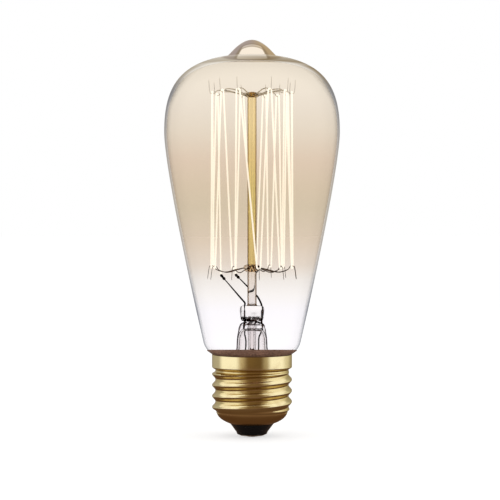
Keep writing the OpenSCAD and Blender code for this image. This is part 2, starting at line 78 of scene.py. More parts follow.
@dataclass(frozen=True)
class Bezier:
    """A cubic curve of a profile, from one end to the other by two handles."""

    start: Point
    start_handle: Point
    end_handle: Point
    end: Point

    def points(self, count: int) -> list[Point]:
        """Samples the curve.

        Args:
            count: Number of steps along the curve.

        Returns:
            The points after the first one.
        """
        corners = (self.start, self.start_handle, self.end_handle, self.end)
        sampled = []
        for step in range(1, count + 1):
            t = step / count
            weights = ((1 - t) ** 3, 3 * (1 - t) ** 2 * t, 3 * (1 - t) * t * t, t ** 3)
            sampled.append(tuple(sum(w * c[axis] for w, c in zip(weights, corners)) for axis in (0, 1)))
        return sampled


@dataclass(frozen=True)
class Span:
    """The room of one CAD node at rest, in millimetres."""

    low: Vector
    high: Vector

    @classmethod
    def of(cls, node: str) -> "Span":
        """Reads the room of a node from the frame."""
        low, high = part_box(node)
        return cls(low / MM, high / MM)

    @property
    def radius(self) -> float:
        """Largest radius that stays inside the node's box on all four sides."""
        return min(self.high.x, self.high.y, -self.low.x, -self.low.y)

    @property
    def mid(self) -> Vector:
        """Middle of the room."""
        return (self.low + self.high) / 2

    @property
    def azimuth(self) -> float:
        """Direction of the middle, in degrees round the lamp's axis."""
        return math.degrees(math.atan2(self.mid.y, self.mid.x))


@dataclass(frozen=True)
class Neck:
    """Where the bulb narrows into the cap, which the cement follows."""

    top_r: float = 16.2
    top_z: float = 31.8
    in_cap_r: float = 12.0
    rim_z: float = 27.2
    step_z: Ends = (23.2, 24.6)
    low_r: float = 10.6

    def taper(self, inset: float) -> Bezier:
        """Outside of the glass from the cap's rim upwards, moved in and up by an inset."""
        points = ((self.in_cap_r, self.rim_z), (self.in_cap_r + 2.1, self.rim_z + 0.1),
                  (self.top_r - 0.5, self.top_z - 2.8), (self.top_r, self.top_z))
        return Bezier(*((radius - inset, height + inset) for radius, height in points))


NECK = Neck()


def polar(radius: float, azimuth: float, height: float) -> Vector:
    """A point in millimetres from its radius, azimuth in degrees and height."""
    turn = math.radians(azimuth)
    return Vector((radius * math.cos(turn), radius * math.sin(turn), height))


def outwards(place: Vector) -> Vector:
    """The level direction away from the lamp's axis, and nothing on the axis."""
    return Vector((place.x, place.y, 0)).normalized()


def through(points: Sequence[Vector], steps: int) -> list[Vector]:
    """Draws a smooth curve through given points.

    Args:
        points: Points that the curve passes.
        steps: Steps between one point and the next.

    Returns:
        The curve's points, ends included.
    """
    ends = [2 * points[0] - points[1], *points, 2 * points[-1] - points[-2]]
    curve = [points[0].copy()]
    for a, b, c, d in zip(ends, ends[1:], ends[2:], ends[3:]):
        for step in range(1, steps + 1):
            t = step / steps
            curve.append(0.5 * (2 * b + (c - a) * t + (2 * a - 5 * b + 4 * c - d) * t * t
                                + (3 * b - a - 3 * c + d) * t ** 3))
    return curve


def evenly(points: Sequence[Vector], spacing: float) -> list[Vector]:
    """Walks a path at an even pace.

    Args:
        points: Corners of the path.
        spacing: Distance from one new point to the next.

    Returns:
        Points a spacing apart along the path, ends included.
    """
    walked = [points[0].copy()]
    left = spacing
    for start, end in zip(points, points[1:]):
        length = (end - start).length
        at = left
        while at < length:
            walked.append(start.lerp(end, at / length))
            at += spacing
        left = at - length
    return [*walked, points[-1].copy()]


def eased(value: float) -> float:
    """A smooth step from 0 to 1."""
    kept = min(max(value, 0.0), 1.0)
    return kept * kept * (3 - 2 * kept)


def rough(place: Vector, size: float, depth: float, seed: float) -> float:
    """An uneven offset that is always the same at the same place.

    Args:
        place: Place in millimetres.
        size: Size of the unevenness in millimetres.
        depth: Largest offset in millimetres.
        seed: Shift of the pattern, so that two pieces differ.

    Returns:
        The offset in millimetres.
    """
    return depth * noise.noise(place / size + Vector((seed, seed, seed)))


# Mesh forms


def lathe(profile: Sequence[Point], steps: int, closed: bool = False) -> Form:
    """Spins a profile round the lamp's axis.

    Args:
        profile: Radius and height of each point, in millimetres.
        steps: Number of segments round the axis.
        closed: True for a ring whose last point joins its first.

    Returns:
        A mesh in metres, welded at the axis, with its faces outwards.
    """
    bm = bmesh.new()
    verts = [bm.verts.new((radius * MM, 0, height * MM)) for radius, height in profile]
    edges = [bm.edges.new(pair) for pair in zip(verts, verts[1:])]
    if closed:
        edges.append(bm.edges.new((verts[-1], verts[0])))
    bmesh.ops.spin(bm, geom=verts + edges, cent=(0, 0, 0), axis=(0, 0, 1), angle=math.tau,
                   steps=steps, use_merge=True)
    bmesh.ops.remove_doubles(bm, verts=bm.verts, dist=WELD)
    bmesh.ops.recalc_face_normals(bm, faces=bm.faces)
    return bm


def swept(path: Sequence[Vector], radii: Radii, sides: int, cut: float = 1.0) -> Form:
    """Sweeps a round section along a path and closes both ends.

    Args:
        path: Points of the path in millimetres.
        radii: Radius in millimetres, one for all or one for each point.
        sides: Sides of the section, an even number of four or more.
        cut: Share of the radius at the two ends, under 1 for rounded ones.

    Returns:
        A closed mesh in metres.
    """
    each = [radii] * len(path) if isinstance(radii, float) else list(radii)
    each = [each[0] * cut, *each[1:-1], each[-1] * cut]
    curve = bpy.data.curves.new("path", "CURVE")
    curve.dimensions = "3D"
    curve.bevel_depth = MM
    curve.bevel_resolution = sides // 2 - 2
    curve.use_fill_caps = True
    spline = curve.splines.new("POLY")
    spline.points.add(len(path) - 1)
    for point, place, radius in zip(spline.points, path, each):
        point.co = (*(place * MM), 1)
        point.radius = radius
    holder = bpy.data.objects.new("path", curve)
    bpy.context.scene.collection.objects.link(holder)
    graph = bpy.context.evaluated_depsgraph_get()
    mesh = bpy.data.meshes.new_from_object(holder.evaluated_get(graph))
    bm = bmesh.new()
    bm.from_mesh(mesh)
    bpy.data.objects.remove(holder)
    bpy.data.curves.remove(curve)
    bpy.data.meshes.remove(mesh)
    bmesh.ops.remove_doubles(bm, verts=bm.verts, dist=WELD)
    bmesh.ops.recalc_face_normals(bm, faces=bm.faces)
    return bm


def reshaped(bm: Form, rule: Callable[[Vector], Vector]) -> Form:
    """Moves the vertices of a mesh.

    Args:
        bm: The mesh.
        rule: Takes a vertex's place in millimetres and gives the new one.

    Returns:
        The same mesh.
    """
    for vert in bm.verts:
        vert.co = rule(vert.co / MM) * MM
    bm.normal_update()
    return bm


def marked(bm: Form, name: str, rule: Callable[[bmesh.types.BMVert], float]) -> Form:
    """Writes a number into each vertex, for a finish to read.

    Args:
        bm: The mesh.
        name: Name of the mark.
        rule: Takes a vertex and gives its number.

    Returns:
        The same mesh.
    """
    layer = bm.verts.layers.float.new(name)
    for vert in bm.verts:
        vert[layer] = rule(vert)
    return bm


def looks_down(vert: bmesh.types.BMVert) -> float:
    """How far a vertex looks down, for painted shade on the brass and the cement."""
    return eased((-vert.normal.z - 0.1) / 0.4)


def placed(name: str, bm: Form, material: bpy.types.Material) -> bpy.types.Object:
    """Puts a mesh into the scene.

    Args:
        name: Name of the object and of its mesh.
        bm: The mesh, which is freed.
        material: Its material.

    Returns:
        The new object.
    """
    mesh = bpy.data.meshes.new(name)
    bm.to_mesh(mesh)
    bm.free()
    mesh.materials.append(material)
    made = bpy.data.objects.new(name, mesh)
    bpy.context.scene.collection.objects.link(made)
    return made


# Node trees


class Net:
    """Puts nodes into a node tree and links them."""

    def __init__(self, tree: bpy.types.NodeTree) -> None:
        """Keeps the tree that the nodes go into."""
        self.tree = tree
        self.column = 0

    def add(self, kind: str, inputs: dict[str | int, Value] | None = None,
            **settings: object) -> bpy.types.Node:
        """Adds one node.

        Args:
            kind: Type of the node.
            inputs: Value or linked socket for each input, by name or index.
            **settings: Properties of the node.

        Returns:
            The node.
        """
        node = self.tree.nodes.new(kind)
        node.location = (220 * self.column, 0)
        self.column += 1
        for key, value in settings.items():
            setattr(node, key, value)
        for key, value in (inputs or {}).items():
            socket = node.inputs[key]
            if isinstance(value, Socket):
                self.tree.links.new(value, socket)
            elif isinstance(value, tuple) and len(value) == 3 and socket.type == "RGBA":
                socket.default_value = (*value, 1)
            else:
                socket.default_value = value
        return node

    def place(self) -> Socket:
        """The object coordinates, in metres."""
        return self.add("ShaderNodeTexCoord").outputs["Object"]

    def parts(self) -> Sequence[Socket]:
        """The three object coordinates one by one, in metres."""
        return self.add("ShaderNodeSeparateXYZ", {0: self.place()}).outputs

    def mark(self, name: str) -> Socket:
        """The number that a mesh carries under a name."""
        return self.add("ShaderNodeAttribute", attribute_name=name).outputs["Fac"]

    def math(self, operation: str, *values: Value) -> Socket:
        """One sum of numbers or sockets."""
        return self.add("ShaderNodeMath", dict(enumerate(values)), operation=operation).outputs[0]

    def times(self, first: Value, second: Value) -> Socket:
        """A product of two numbers or sockets."""
        return self.math("MULTIPLY", first, second)

    def share(self, value: Value, low: float, high: float) -> Socket:
        """How far a value is on the straight way from low to high."""
        return self.add("ShaderNodeMapRange", {0: value, 1: low, 2: high}).outputs[0]

    def ranged(self, value: Value, low: Value, high: Value, first: float = 0.0, last: float = 1.0) -> Socket:
        """Eases a value from one range into another.

        Args:
            value: Socket to read.
            low: Value that gives first.
            high: Value that gives last.
            first: Result at low.
            last: Result at high.

        Returns:
            The eased result.
        """
        return self.add("ShaderNodeMapRange", {0: value, 1: low, 2: high, 3: first, 4: last},
                        interpolation_type="SMOOTHSTEP").outputs[0]

    def blend(self, factor: Value, first: Value, second: Value, kind: str = "MIX") -> Socket:
        """Mixes two colours.

        Args:
            factor: Share of the second colour.
            first: Colour or socket.
            second: Colour or socket.
            kind: Blend type.

        Returns:
            The mixed colour.
        """
        return self.add("ShaderNodeMix", {0: factor, 6: first, 7: second},
                        data_type="RGBA", blend_type=kind).outputs[2]

    def ramp(self, factor: Value, stops: Stops, way: str = "EASE") -> Socket:
        """Reads a colour from a row of stops.

        Args:
            factor: Where to read, from 0 to 1.
            stops: Place and colour of each stop.
            way: How the colours run from stop to stop.

        Returns:
            The colour.
        """
        node = self.add("ShaderNodeValToRGB", {0: factor})
        elements = node.color_ramp.elements
        while len(elements) < len(stops):
            elements.new(0.5)
        for element, (place, colour) in zip(elements, stops):
            element.position = place
            element.color = (*colour, 1)
        node.color_ramp.interpolation = way
        return node.outputs[0]

    def levels(self, value: Value, stops: Sequence[Point]) -> Socket:
        """Reads a number between 0 and 1 from a row of stops.

        Args:
            value: Where to read, in the stops' own measure.
            stops: Place and number of each stop.

        Returns:
            The number.
        """
        first, last = stops[0][0], stops[-1][0]
        greys = [((place - first) / (last - first), (level,) * 3) for place, level in stops]
        return self.ramp(self.share(value, first, last), greys, "LINEAR")

    def sideways(self, flatness: float) -> Socket:
        """Tells how far a surface faces away to the sides.

        Args:
            flatness: Share of its slope up or down that counts too.

        Returns:
            0 square on to 1 edge on.
        """
        normal = self.add("ShaderNodeNewGeometry").outputs["Normal"]
        flat = self.add("ShaderNodeVectorMath", {0: normal, 1: (1.0, 1.0, flatness)}, operation="MULTIPLY")
        even = self.add("ShaderNodeVectorMath", {0: flat.outputs[0]}, operation="NORMALIZE")
        return self.add("ShaderNodeLayerWeight", {"Blend": 0.5, "Normal": even.outputs[0]}).outputs["Facing"]

    def group(self, tree: bpy.types.NodeTree, **inputs: float) -> Socket:
        """Adds a shared effect with its own values and gives what it puts out."""
        return self.add("ShaderNodeGroup", inputs, node_tree=tree).outputs[0]

    def bump(self, height: Socket, depth: float) -> Socket:
        """Turns a height from 0 to 1 into a normal, with its full depth in millimetres."""
        return self.add("ShaderNodeBump", {"Height": height, "Distance": depth * MM}).outputs[0]


def new_material(name: str, build: Callable[[Net], Socket]) -> bpy.types.Material:
    """Makes a material.

    Args:
        name: Its name.
        build: Builds its shader in its net.

    Returns:
        The material.
    """
    made = bpy.data.materials.new(name)
    made.use_nodes = True
    made.node_tree.nodes.clear()
    net = Net(made.node_tree)
    net.add("ShaderNodeOutputMaterial", {"Surface": build(net)})
    return made


class Effects:
    """Shader effects that several finishes share, each built once as a node group."""

    def __init__(self) -> None:
        """Builds the groups."""
        self.fade = self._group("height_fade", {"Low": 0.0, "High": 0.1}, "Mask", self._fade)
        self.ripple = self._group("glass_ripple", {"Scale": 60.0, "Draw": 0.4}, "Height", self._ripple)
        self.speckle = self._group("speckle", {"Scale": 800.0, "Threshold": 0.5, "Softness": 0.15},
                                   "Mask", self._speckle)
        self.spun_lines = self._group("spun_lines", {"Lines": 4000.0, "Drift": 60.0}, "Height",
                                      self._spun_lines)
        self.crest = self._group("crest_wear", {"Root": 0.012, "Crest": 0.013}, "Mask", self._crest)

    @staticmethod
    def _group(name: str, inputs: dict[str, float], output: str,
               build: Callable[[Net, dict[str, Socket]], Socket]) -> bpy.types.NodeTree:
        """Makes a group with number sockets.

        Args:
            name: Name of the group.
            inputs: Name and first value of each input.
            output: Name of the one output.
            build: Builds the nodes from the inputs and gives the output.

        Returns:
            The group.
        """
        tree = bpy.data.node_groups.new(name, "ShaderNodeTree")
        for title, value in inputs.items():
            socket = tree.interface.new_socket(name=title, in_out="INPUT", socket_type="NodeSocketFloat")
            socket.default_value = value
        tree.interface.new_socket(name=output, in_out="OUTPUT", socket_type="NodeSocketFloat")
        net = Net(tree)
        given = net.add("NodeGroupInput").outputs
        net.add("NodeGroupOutput", {0: build(net, {title: given[title] for title in inputs})})
        return tree

    @staticmethod
    def _fade(net: Net, given: dict[str, Socket]) -> Socket:
        """A mask that rises with height, between two heights in metres."""
        return net.ranged(net.parts()[2], given["Low"], given["High"])

    @staticmethod
    def _ripple(net: Net, given: dict[str, Socket]) -> Socket:
        """Slow waves of drawn or blown glass, longer along the axis.

        Args:
            net: Net of the group.
            given: Scale of the waves and how much the height counts.

        Returns:
            The height of the waves.
        """
        x, y, z = net.parts()
        place = net.add("ShaderNodeCombineXYZ", {0: x, 1: y, 2: net.times(z, given["Draw"])})
        return net.add("ShaderNodeTexNoise", {"Vector": place.outputs[0], "Scale": given["Scale"],
                                              "Detail": 1.5, "Roughness": 0.4}).outputs[0]

    @staticmethod
    def _speckle(net: Net, given: dict[str, Socket]) -> Socket:
        """Patches of dust, oxide or grain, with a soft edge.

        Args:
            net: Net of the group.
            given: Scale of the patches, where they start and how soft their edge is.

        Returns:
            The mask of the patches.
        """
        grain = net.add("ShaderNodeTexNoise", {"Vector": net.place(), "Scale": given["Scale"],
                                               "Detail": 4.0, "Roughness": 0.6}).outputs[0]
        high = net.math("ADD", given["Threshold"], given["Softness"])
        return net.ranged(grain, given["Threshold"], high)

    @staticmethod
    def _spun_lines(net: Net, given: dict[str, Socket]) -> Socket:
        """Fine rings left by rolling and spinning the metal round the axis.

        Args:
            net: Net of the group.
            given: Lines to the metre and their drift round the axis.

        Returns:
            The height of the lines.
        """
        x, y, z = net.parts()
        place = net.add("ShaderNodeCombineXYZ", {
            0: net.times(x, given["Drift"]), 1: net.times(y, given["Drift"]),
            2: net.times(z, given["Lines"])})
        return net.add("ShaderNodeTexNoise", {
            "Vector": place.outputs[0], "Scale": 1.0, "Detail": 3.0}).outputs[0]

    @staticmethod
    def _crest(net: Net, given: dict[str, Socket]) -> Socket:
        """A mask that rises with the distance from the axis, for what rubs and what stays dirty.

        Args:
            net: Net of the group.
            given: Radius of the thread's root and of its crest, in metres.

        Returns:
            The mask.
        """
        x, y, _ = net.parts()
        radius = net.math("SQRT", net.math("ADD", net.times(x, x), net.times(y, y)))
        return net.ranged(radius, given["Root"], given["Crest"])


# Finishes


@dataclass(frozen=True)
class Finish:
    """What every finish has: a name and the name of its slot."""

    name: str
    slot: str

    def build(self, net: Net, effects: Effects) -> Socket:
        """Builds the shader.

        Args:
            net: Net of the material.
            effects: The shared effects.

        Returns:
            The shader's socket.
        """
        raise NotImplementedError


@dataclass(frozen=True)
class Crown:
    """How the bulb's outline, its crown and the solid pip look: painted shade where light runs along inside
    the glass, and painted refraction on the pip.

    Turns tell how far a surface faces away, from 0 square on to 1 edge on. Heights are millimetres.
    Only the near side of the outer skin carries the bands, so that they are counted once. Tones are
    written as the eye sees them.
    """

    limb: Sequence[Point] = (
        (0.60, 0.0), (0.63, 0.05), (0.665, 0.15), (0.70, 0.31), (0.739, 0.50), (0.787, 0.80), (0.85, 1.0),
        (1.0, 1.0))
    limb_z: Sequence[Point] = (
        (20.0, 0.75), (35.0, 0.8), (41.7, 1.0), (48.0, 0.85), (58.0, 0.58), (78.0, 0.5), (94.0, 0.65),
        (106.0, 0.9), (114.0, 1.0), (131.0, 1.0))
    shoulder: Sequence[Point] = ((108.0, 0.0), (113.0, 0.06), (116.0, 0.06), (119.5, 0.0))
    limb_tone: Colour = (0.27, 0.28, 0.31)
    ring: Sequence[Point] = (
        (121.2, 0.0), (121.5, 0.45), (121.95, 0.75), (122.27, 1.0), (122.65, 0.9), (123.5, 0.77),
        (123.95, 0.6), (124.5, 0.23), (125.3, 0.1))
    ring_turn: Ends = (0.25, 0.45)
    ring_from: Ends = (121.0, 122.2)
    # Painted shading across the crown: greyer on the left, darker and warmer on the right, taking over in
    # this height band
    left: Colour = (0.53, 0.49, 0.42)
    right: Colour = (0.35, 0.29, 0.20)
    painted_shade_x: Ends = (-9.0, 7.0)
    painted_shade_z: Ends = (112.0, 121.0)
    flatness: float = 0.25
    tip_z: Ends = (128.0, 130.2)
    tip_turn: float = 0.4
    # Painted refraction of the pip, greyer on its left side and warmer on its right
    pip_left: Stops = (
        (0.19, (0.975, 0.917, 0.837)), (0.25, (0.51, 0.45, 0.37)), (0.38, (0.61, 0.55, 0.52)),
        (0.90, (0.63, 0.57, 0.53)), (1.0, (0.75, 0.70, 0.66)))
    pip_right: Stops = (
        (0.19, (0.975, 0.917, 0.837)), (0.25, (0.53, 0.45, 0.34)), (0.38, (0.667, 0.568, 0.43)),
        (0.90, (0.69, 0.60, 0.46)), (1.0, (0.75, 0.70, 0.66)))
    pip_x: Ends = (-2.0, 4.0)

    def over(self, net: Net, tint: Socket, facing: Socket) -> Socket:
        """Lays the painted shade of outline, crown and pip over the bulb's tint.

        Args:
            net: Net of the material.
            tint: Tint of the plain glass.
            facing: Share that the surface faces away.

        Returns:
            The tint with all of them.
        """
        x, _, z = net.parts()
        height = net.times(z, 1 / MM)
        back = net.add("ShaderNodeNewGeometry").outputs["Backfacing"]
        front = net.times(net.mark(SKIN), net.math("SUBTRACT", 1.0, back))
        wider = net.math("ADD", facing, net.levels(height, self.shoulder))
        side = net.times(net.levels(wider, self.limb), net.levels(height, self.limb_z))
        top = net.times(net.levels(height, self.ring), net.ranged(facing, *self.ring_turn))
        depth = net.blend(net.ranged(height, *self.ring_from), side, top)
        # Painted shading from the left tone to the right one
        painted_shade = self._across(net, x, self.painted_shade_x, self.left, self.right)
        tone = net.blend(net.ranged(height, *self.painted_shade_z), self.limb_tone, painted_shade)
        band = net.blend(net.times(front, depth), WHITE, tone)
        tint = net.blend(1.0, tint, self._light(net, band), "MULTIPLY")
        tip = net.times(net.ranged(height, *self.tip_z), self.tip_turn)
        inwards = net.math("ADD", net.sideways(self.flatness), tip)
        # Painted refraction on the pip, from its left tone to its right one
        lens = self._across(net, x, self.pip_x, net.ramp(inwards, self.pip_left),
                            net.ramp(inwards, self.pip_right))
        return net.blend(net.mark(PIP), tint, self._light(net, lens))

    @staticmethod
    def _across(net: Net, x: Socket, ends: Ends, left: Value, right: Value) -> Socket:
        """A colour that runs from the left one to the right one between two ends."""
        return net.blend(net.ranged(x, ends[0] * MM, ends[1] * MM), left, right)

    @staticmethod
    def _light(net: Net, tone: Socket) -> Socket:
        """The light of a tone, near the square of what the eye sees."""
        return net.blend(1.0, tone, tone, "MULTIPLY")


@dataclass(frozen=True)
class Glass(Finish):
    """Clear or tinted glass, whose tint changes with height and deepens where it is seen edge on, partly for
    the longer way through the glass and partly as painted shade, with a painted dark outline.
    """

    low_z: float
    high_z: float
    stops: Stops
    # Painted edge shade, and the painted outline's colour, standing in for the dark that the glass bends in
    edges: Stops
    outline: Colour
    outline_from: float = 0.86
    outline_to: float = 1.0
    shade: Colour = (0.97, 0.95, 0.92)
    ior: float = 1.45
    ripple_scale: float = 60.0
    ripple_depth: float = 0.02
    soot_z: Ends | None = None
    # Where a piece's mark asks for it, painted shade darkens the edges between these turns
    edge_shade_turn: Ends = (-1.0, -0.5)
    flatness: float = 1.0
    crown: Crown | None = None

    def build(self, net: Net, effects: Effects) -> Socket:
        """Tint by height, painted shade on the edges, soft waves, and a thin shade where light passes
        through.

        Args:
            net: Net of the material.
            effects: The shared effects.

        Returns:
            The shader's socket.
        """
        along = net.share(net.parts()[2], self.low_z * MM, self.high_z * MM)
        facing = net.sideways(self.flatness)
        # The edges' ramp and the outline below are painted shade
        tint = net.blend(1.0, net.ramp(along, self.stops, "LINEAR"), net.ramp(facing, self.edges), "MULTIPLY")
        # Painted shade on the edges where the piece is marked for it
        edge_shade_mask = net.times(net.mark(EDGE_SHADE), net.ranged(facing, *self.edge_shade_turn))
        outline = net.math("MAXIMUM", net.ranged(facing, self.outline_from, self.outline_to), edge_shade_mask)
        if self.soot_z:
            outline = net.math("MAXIMUM", outline, self._soot(net, effects, *self.soot_z))
        if self.crown:
            tint = self.crown.over(net, tint, facing)
        waves = net.group(effects.ripple, Scale=self.ripple_scale)
        glass = net.add("ShaderNodeBsdfPrincipled", {
            "Base Color": tint, "Roughness": 0.0, "IOR": self.ior, "Metallic": 0.0,
            "Transmission Weight": 1.0, "Normal": net.bump(waves, self.ripple_depth)})
        rim = net.add("ShaderNodeBsdfTransparent", {"Color": self.outline})
        seen = net.add("ShaderNodeMixShader", {0: outline, 1: glass.outputs[0], 2: rim.outputs[0]})
        shade = net.add("ShaderNodeBsdfTransparent", {"Color": self.shade})
        shadow = net.add("ShaderNodeLightPath").outputs["Is Shadow Ray"]
        return net.add("ShaderNodeMixShader", {0: shadow, 1: seen.outputs[0], 2: shade.outputs[0]}).outputs[0]

    @staticmethod
    def _soot(net: Net, effects: Effects, low: float, high: float) -> Socket:
        """Burnt patches in the pinched band where the glass was pressed hot.

        Args:
            net: Net of the material.
            effects: The shared effects.
            low: Lower end of the band.
            high: Upper end of the band.

        Returns:
            The mask of the patches.
        """
        middle = (low + high) / 2
        rise = net.group(effects.fade, Low=low * MM, High=middle * MM)
        fall = net.group(effects.fade, Low=middle * MM, High=high * MM)
        band = net.math("MINIMUM", net.times(net.math("SUBTRACT", rise, fall), 2.5), 1.0)
        return net.times(band, net.group(effects.speckle, Scale=1100.0, Threshold=0.43, Softness=0.06))


@dataclass(frozen=True)
class Metal(Finish):
    """Drawn, cast or soldered metal with dull patches."""

    bright: Colour
    dull: Colour
    gloss: Ends = (0.3, 0.55)
    edge: Colour = WHITE
    patch_scale: float = 500.0

    def build(self, net: Net, effects: Effects) -> Socket:
        """Bright metal under patches of oxide, with a fine grain.

        Args:
            net: Net of the material.
            effects: The shared effects.

        Returns:
            The shader's socket.
        """
        patches = net.group(effects.speckle, Scale=self.patch_scale, Threshold=0.5)
        grain = net.group(effects.speckle, Scale=2500.0, Threshold=0.3, Softness=0.5)
        return net.add("ShaderNodeBsdfPrincipled", {
            "Base Color": net.blend(patches, self.bright, self.dull), "Metallic": 1.0,
            "Specular Tint": self.edge, "Roughness": net.ranged(patches, 0.0, 1.0, *self.gloss),
            "Normal": net.bump(grain, 0.01)}).outputs[0]


@dataclass(frozen=True)
class Brass(Finish):
    """Rolled brass, bright on the crests, browner in the grooves, and browner in the drawn-in bottom with
    tarnish and painted shade.
    """

    bright: Colour = (0.98, 0.85, 0.50)
    groove: Colour = (0.88, 0.72, 0.36)
    tarnish: Colour = (0.62, 0.42, 0.20)
    # Painted shade, multiplied on the faces that look down
    down_face_shade: Colour = (0.58, 0.52, 0.40)
    edge: Colour = (0.80, 0.72, 0.60)
    gloss: Ends = (0.14, 0.26)
    mark_tarnish: float = 0.35
    mark_dulling: float = 0.6
    bowl_tarnish_and_shade: float = 0.75
    thread_r: Ends = (12.0, 13.05)
    bowl_z: Ends = (5.5, 9.5)

    def build(self, net: Net, effects: Effects) -> Socket:
        """Colour by wear, painted shade on the faces that look down, fine rings, faint handling marks.

        Args:
            net: Net of the material.
            effects: The shared effects.

        Returns:
            The shader's socket.
        """
        root, crest = self.thread_r
        low, high = self.bowl_z
        worn = net.group(effects.crest, Root=root * MM, Crest=crest * MM)
        above = net.group(effects.fade, Low=low * MM, High=high * MM)
        marks = net.group(effects.speckle, Scale=180.0, Threshold=0.46, Softness=0.3)
        # The drawn-in bottom: tarnish, deepened as painted shade for the dark it mirrors
        bowl = net.times(net.math("SUBTRACT", 1.0, above), self.bowl_tarnish_and_shade)
        colour = net.blend(worn, self.groove, self.bright)
        colour = net.blend(net.times(marks, self.mark_tarnish), colour, self.tarnish)
        colour = net.blend(bowl, colour, self.tarnish)
        # Painted shade on the faces that look down
        colour = net.blend(net.mark(DOWN_SHADE), colour, self.down_face_shade, "MULTIPLY")
        dull = net.math("MAXIMUM", net.times(marks, self.mark_dulling), bowl)
        return net.add("ShaderNodeBsdfPrincipled", {
            "Base Color": colour, "Metallic": 1.0, "Specular Tint": self.edge,
            "Roughness": net.ranged(dull, 0.0, 1.0, *self.gloss),
            "Normal": net.bump(net.group(effects.spun_lines, Lines=3500.0), 0.006)}).outputs[0]


@dataclass(frozen=True)
class BlackGlass(Finish):
    """Opaque black glass, poured and fired, with a few dusty spots."""

    body: Colour = (0.004, 0.004, 0.004)
    dust: Colour = (0.02, 0.018, 0.016)
    gloss: Ends = (0.12, 0.5)

    def build(self, net: Net, effects: Effects) -> Socket:
        """Deep gloss, slow waves and dust.

        Args:
            net: Net of the material.
            effects: The shared effects.

        Returns:
            The shader's socket.
        """
        dust = net.group(effects.speckle, Scale=900.0, Threshold=0.62, Softness=0.1)
        waves = net.group(effects.ripple, Scale=350.0, Draw=1.0)
        return net.add("ShaderNodeBsdfPrincipled", {
            "Base Color": net.blend(dust, self.body, self.dust), "Metallic": 0.0,
            "Roughness": net.ranged(dust, 0.0, 1.0, *self.gloss), "IOR": 1.5, "Specular IOR Level": 0.12,
            "Normal": net.bump(waves, 0.06)}).outputs[0]


@dataclass(frozen=True)
class Cement(Finish):
    """Baked brown cement, grainy and dry, with painted shade on the faces that look down."""

    light: Colour = (0.26, 0.135, 0.09)
    dark: Colour = (0.14, 0.068, 0.042)
    # Painted shade, multiplied on the faces that look down
    painted_shade: Colour = (0.62, 0.55, 0.42)
    gloss: Ends = (0.95, 0.6)

    def build(self, net: Net, effects: Effects) -> Socket:
        """Two browns in fine grains, and painted shade on the faces that look down.

        Args:
            net: Net of the material.
            effects: The shared effects.

        Returns:
            The shader's socket.
        """
        grains = net.group(effects.speckle, Scale=1500.0, Threshold=0.38, Softness=0.3)
        clouds = net.group(effects.speckle, Scale=250.0, Threshold=0.42, Softness=0.3)
        colour = net.blend(net.times(net.math("ADD", grains, clouds), 0.5), self.dark, self.light)
        # The faces that look down get painted shade
        return net.add("ShaderNodeBsdfPrincipled", {
            "Base Color": net.blend(net.mark(DOWN_SHADE), colour, self.painted_shade, "MULTIPLY"), "Metallic": 0.0,
            "Roughness": net.ranged(grains, 0.0, 1.0, *self.gloss),
            "Normal": net.bump(grains, 0.08)}).outputs[0]


@dataclass(frozen=True)
class GlowingCoil(Finish):
    """The lit filament: a fine coil, whiter on the turns and warmer between them."""

    turn: Colour = (0.93, 0.98, 1.0)
    between: Colour = (0.93, 0.93, 0.84)
    wire: Colour = (0.30, 0.26, 0.20)
    wire_between: Colour = (0.30, 0.20, 0.10)
    gloss: Ends = (0.7, 0.45)
    strength: float = 1.05
    pitch: float = 0.5

    def build(self, net: Net, effects: Effects) -> Socket:
        """Bands along the strands, in colour, relief and glow.

        Args:
            net: Net of the material.
            effects: The shared effects.

        Returns:
            The shader's socket.
        """
        # At a scale of 1, a wave texture turns 20 radians in one unit.
        scale = math.tau / (20 * self.pitch * MM)
        bands = net.add("ShaderNodeTexWave", {"Vector": net.place(), "Scale": scale, "Distortion": 0.0},
            wave_type="BANDS", bands_direction="Z").outputs[1]
        cooler = net.group(effects.speckle, Scale=120.0, Threshold=0.5, Softness=0.3)
        glow = net.blend(bands, self.between, self.turn)
        return net.add("ShaderNodeBsdfPrincipled", {
            "Base Color": net.blend(bands, self.wire_between, self.wire), "Metallic": 0.0,
            "Roughness": net.ranged(bands, 0.0, 1.0, *self.gloss),
            "Emission Color": net.blend(net.times(cooler, 0.25), glow, self.between),
            "Emission Strength": self.strength, "Normal": net.bump(bands, 0.05)}).outputs[0]


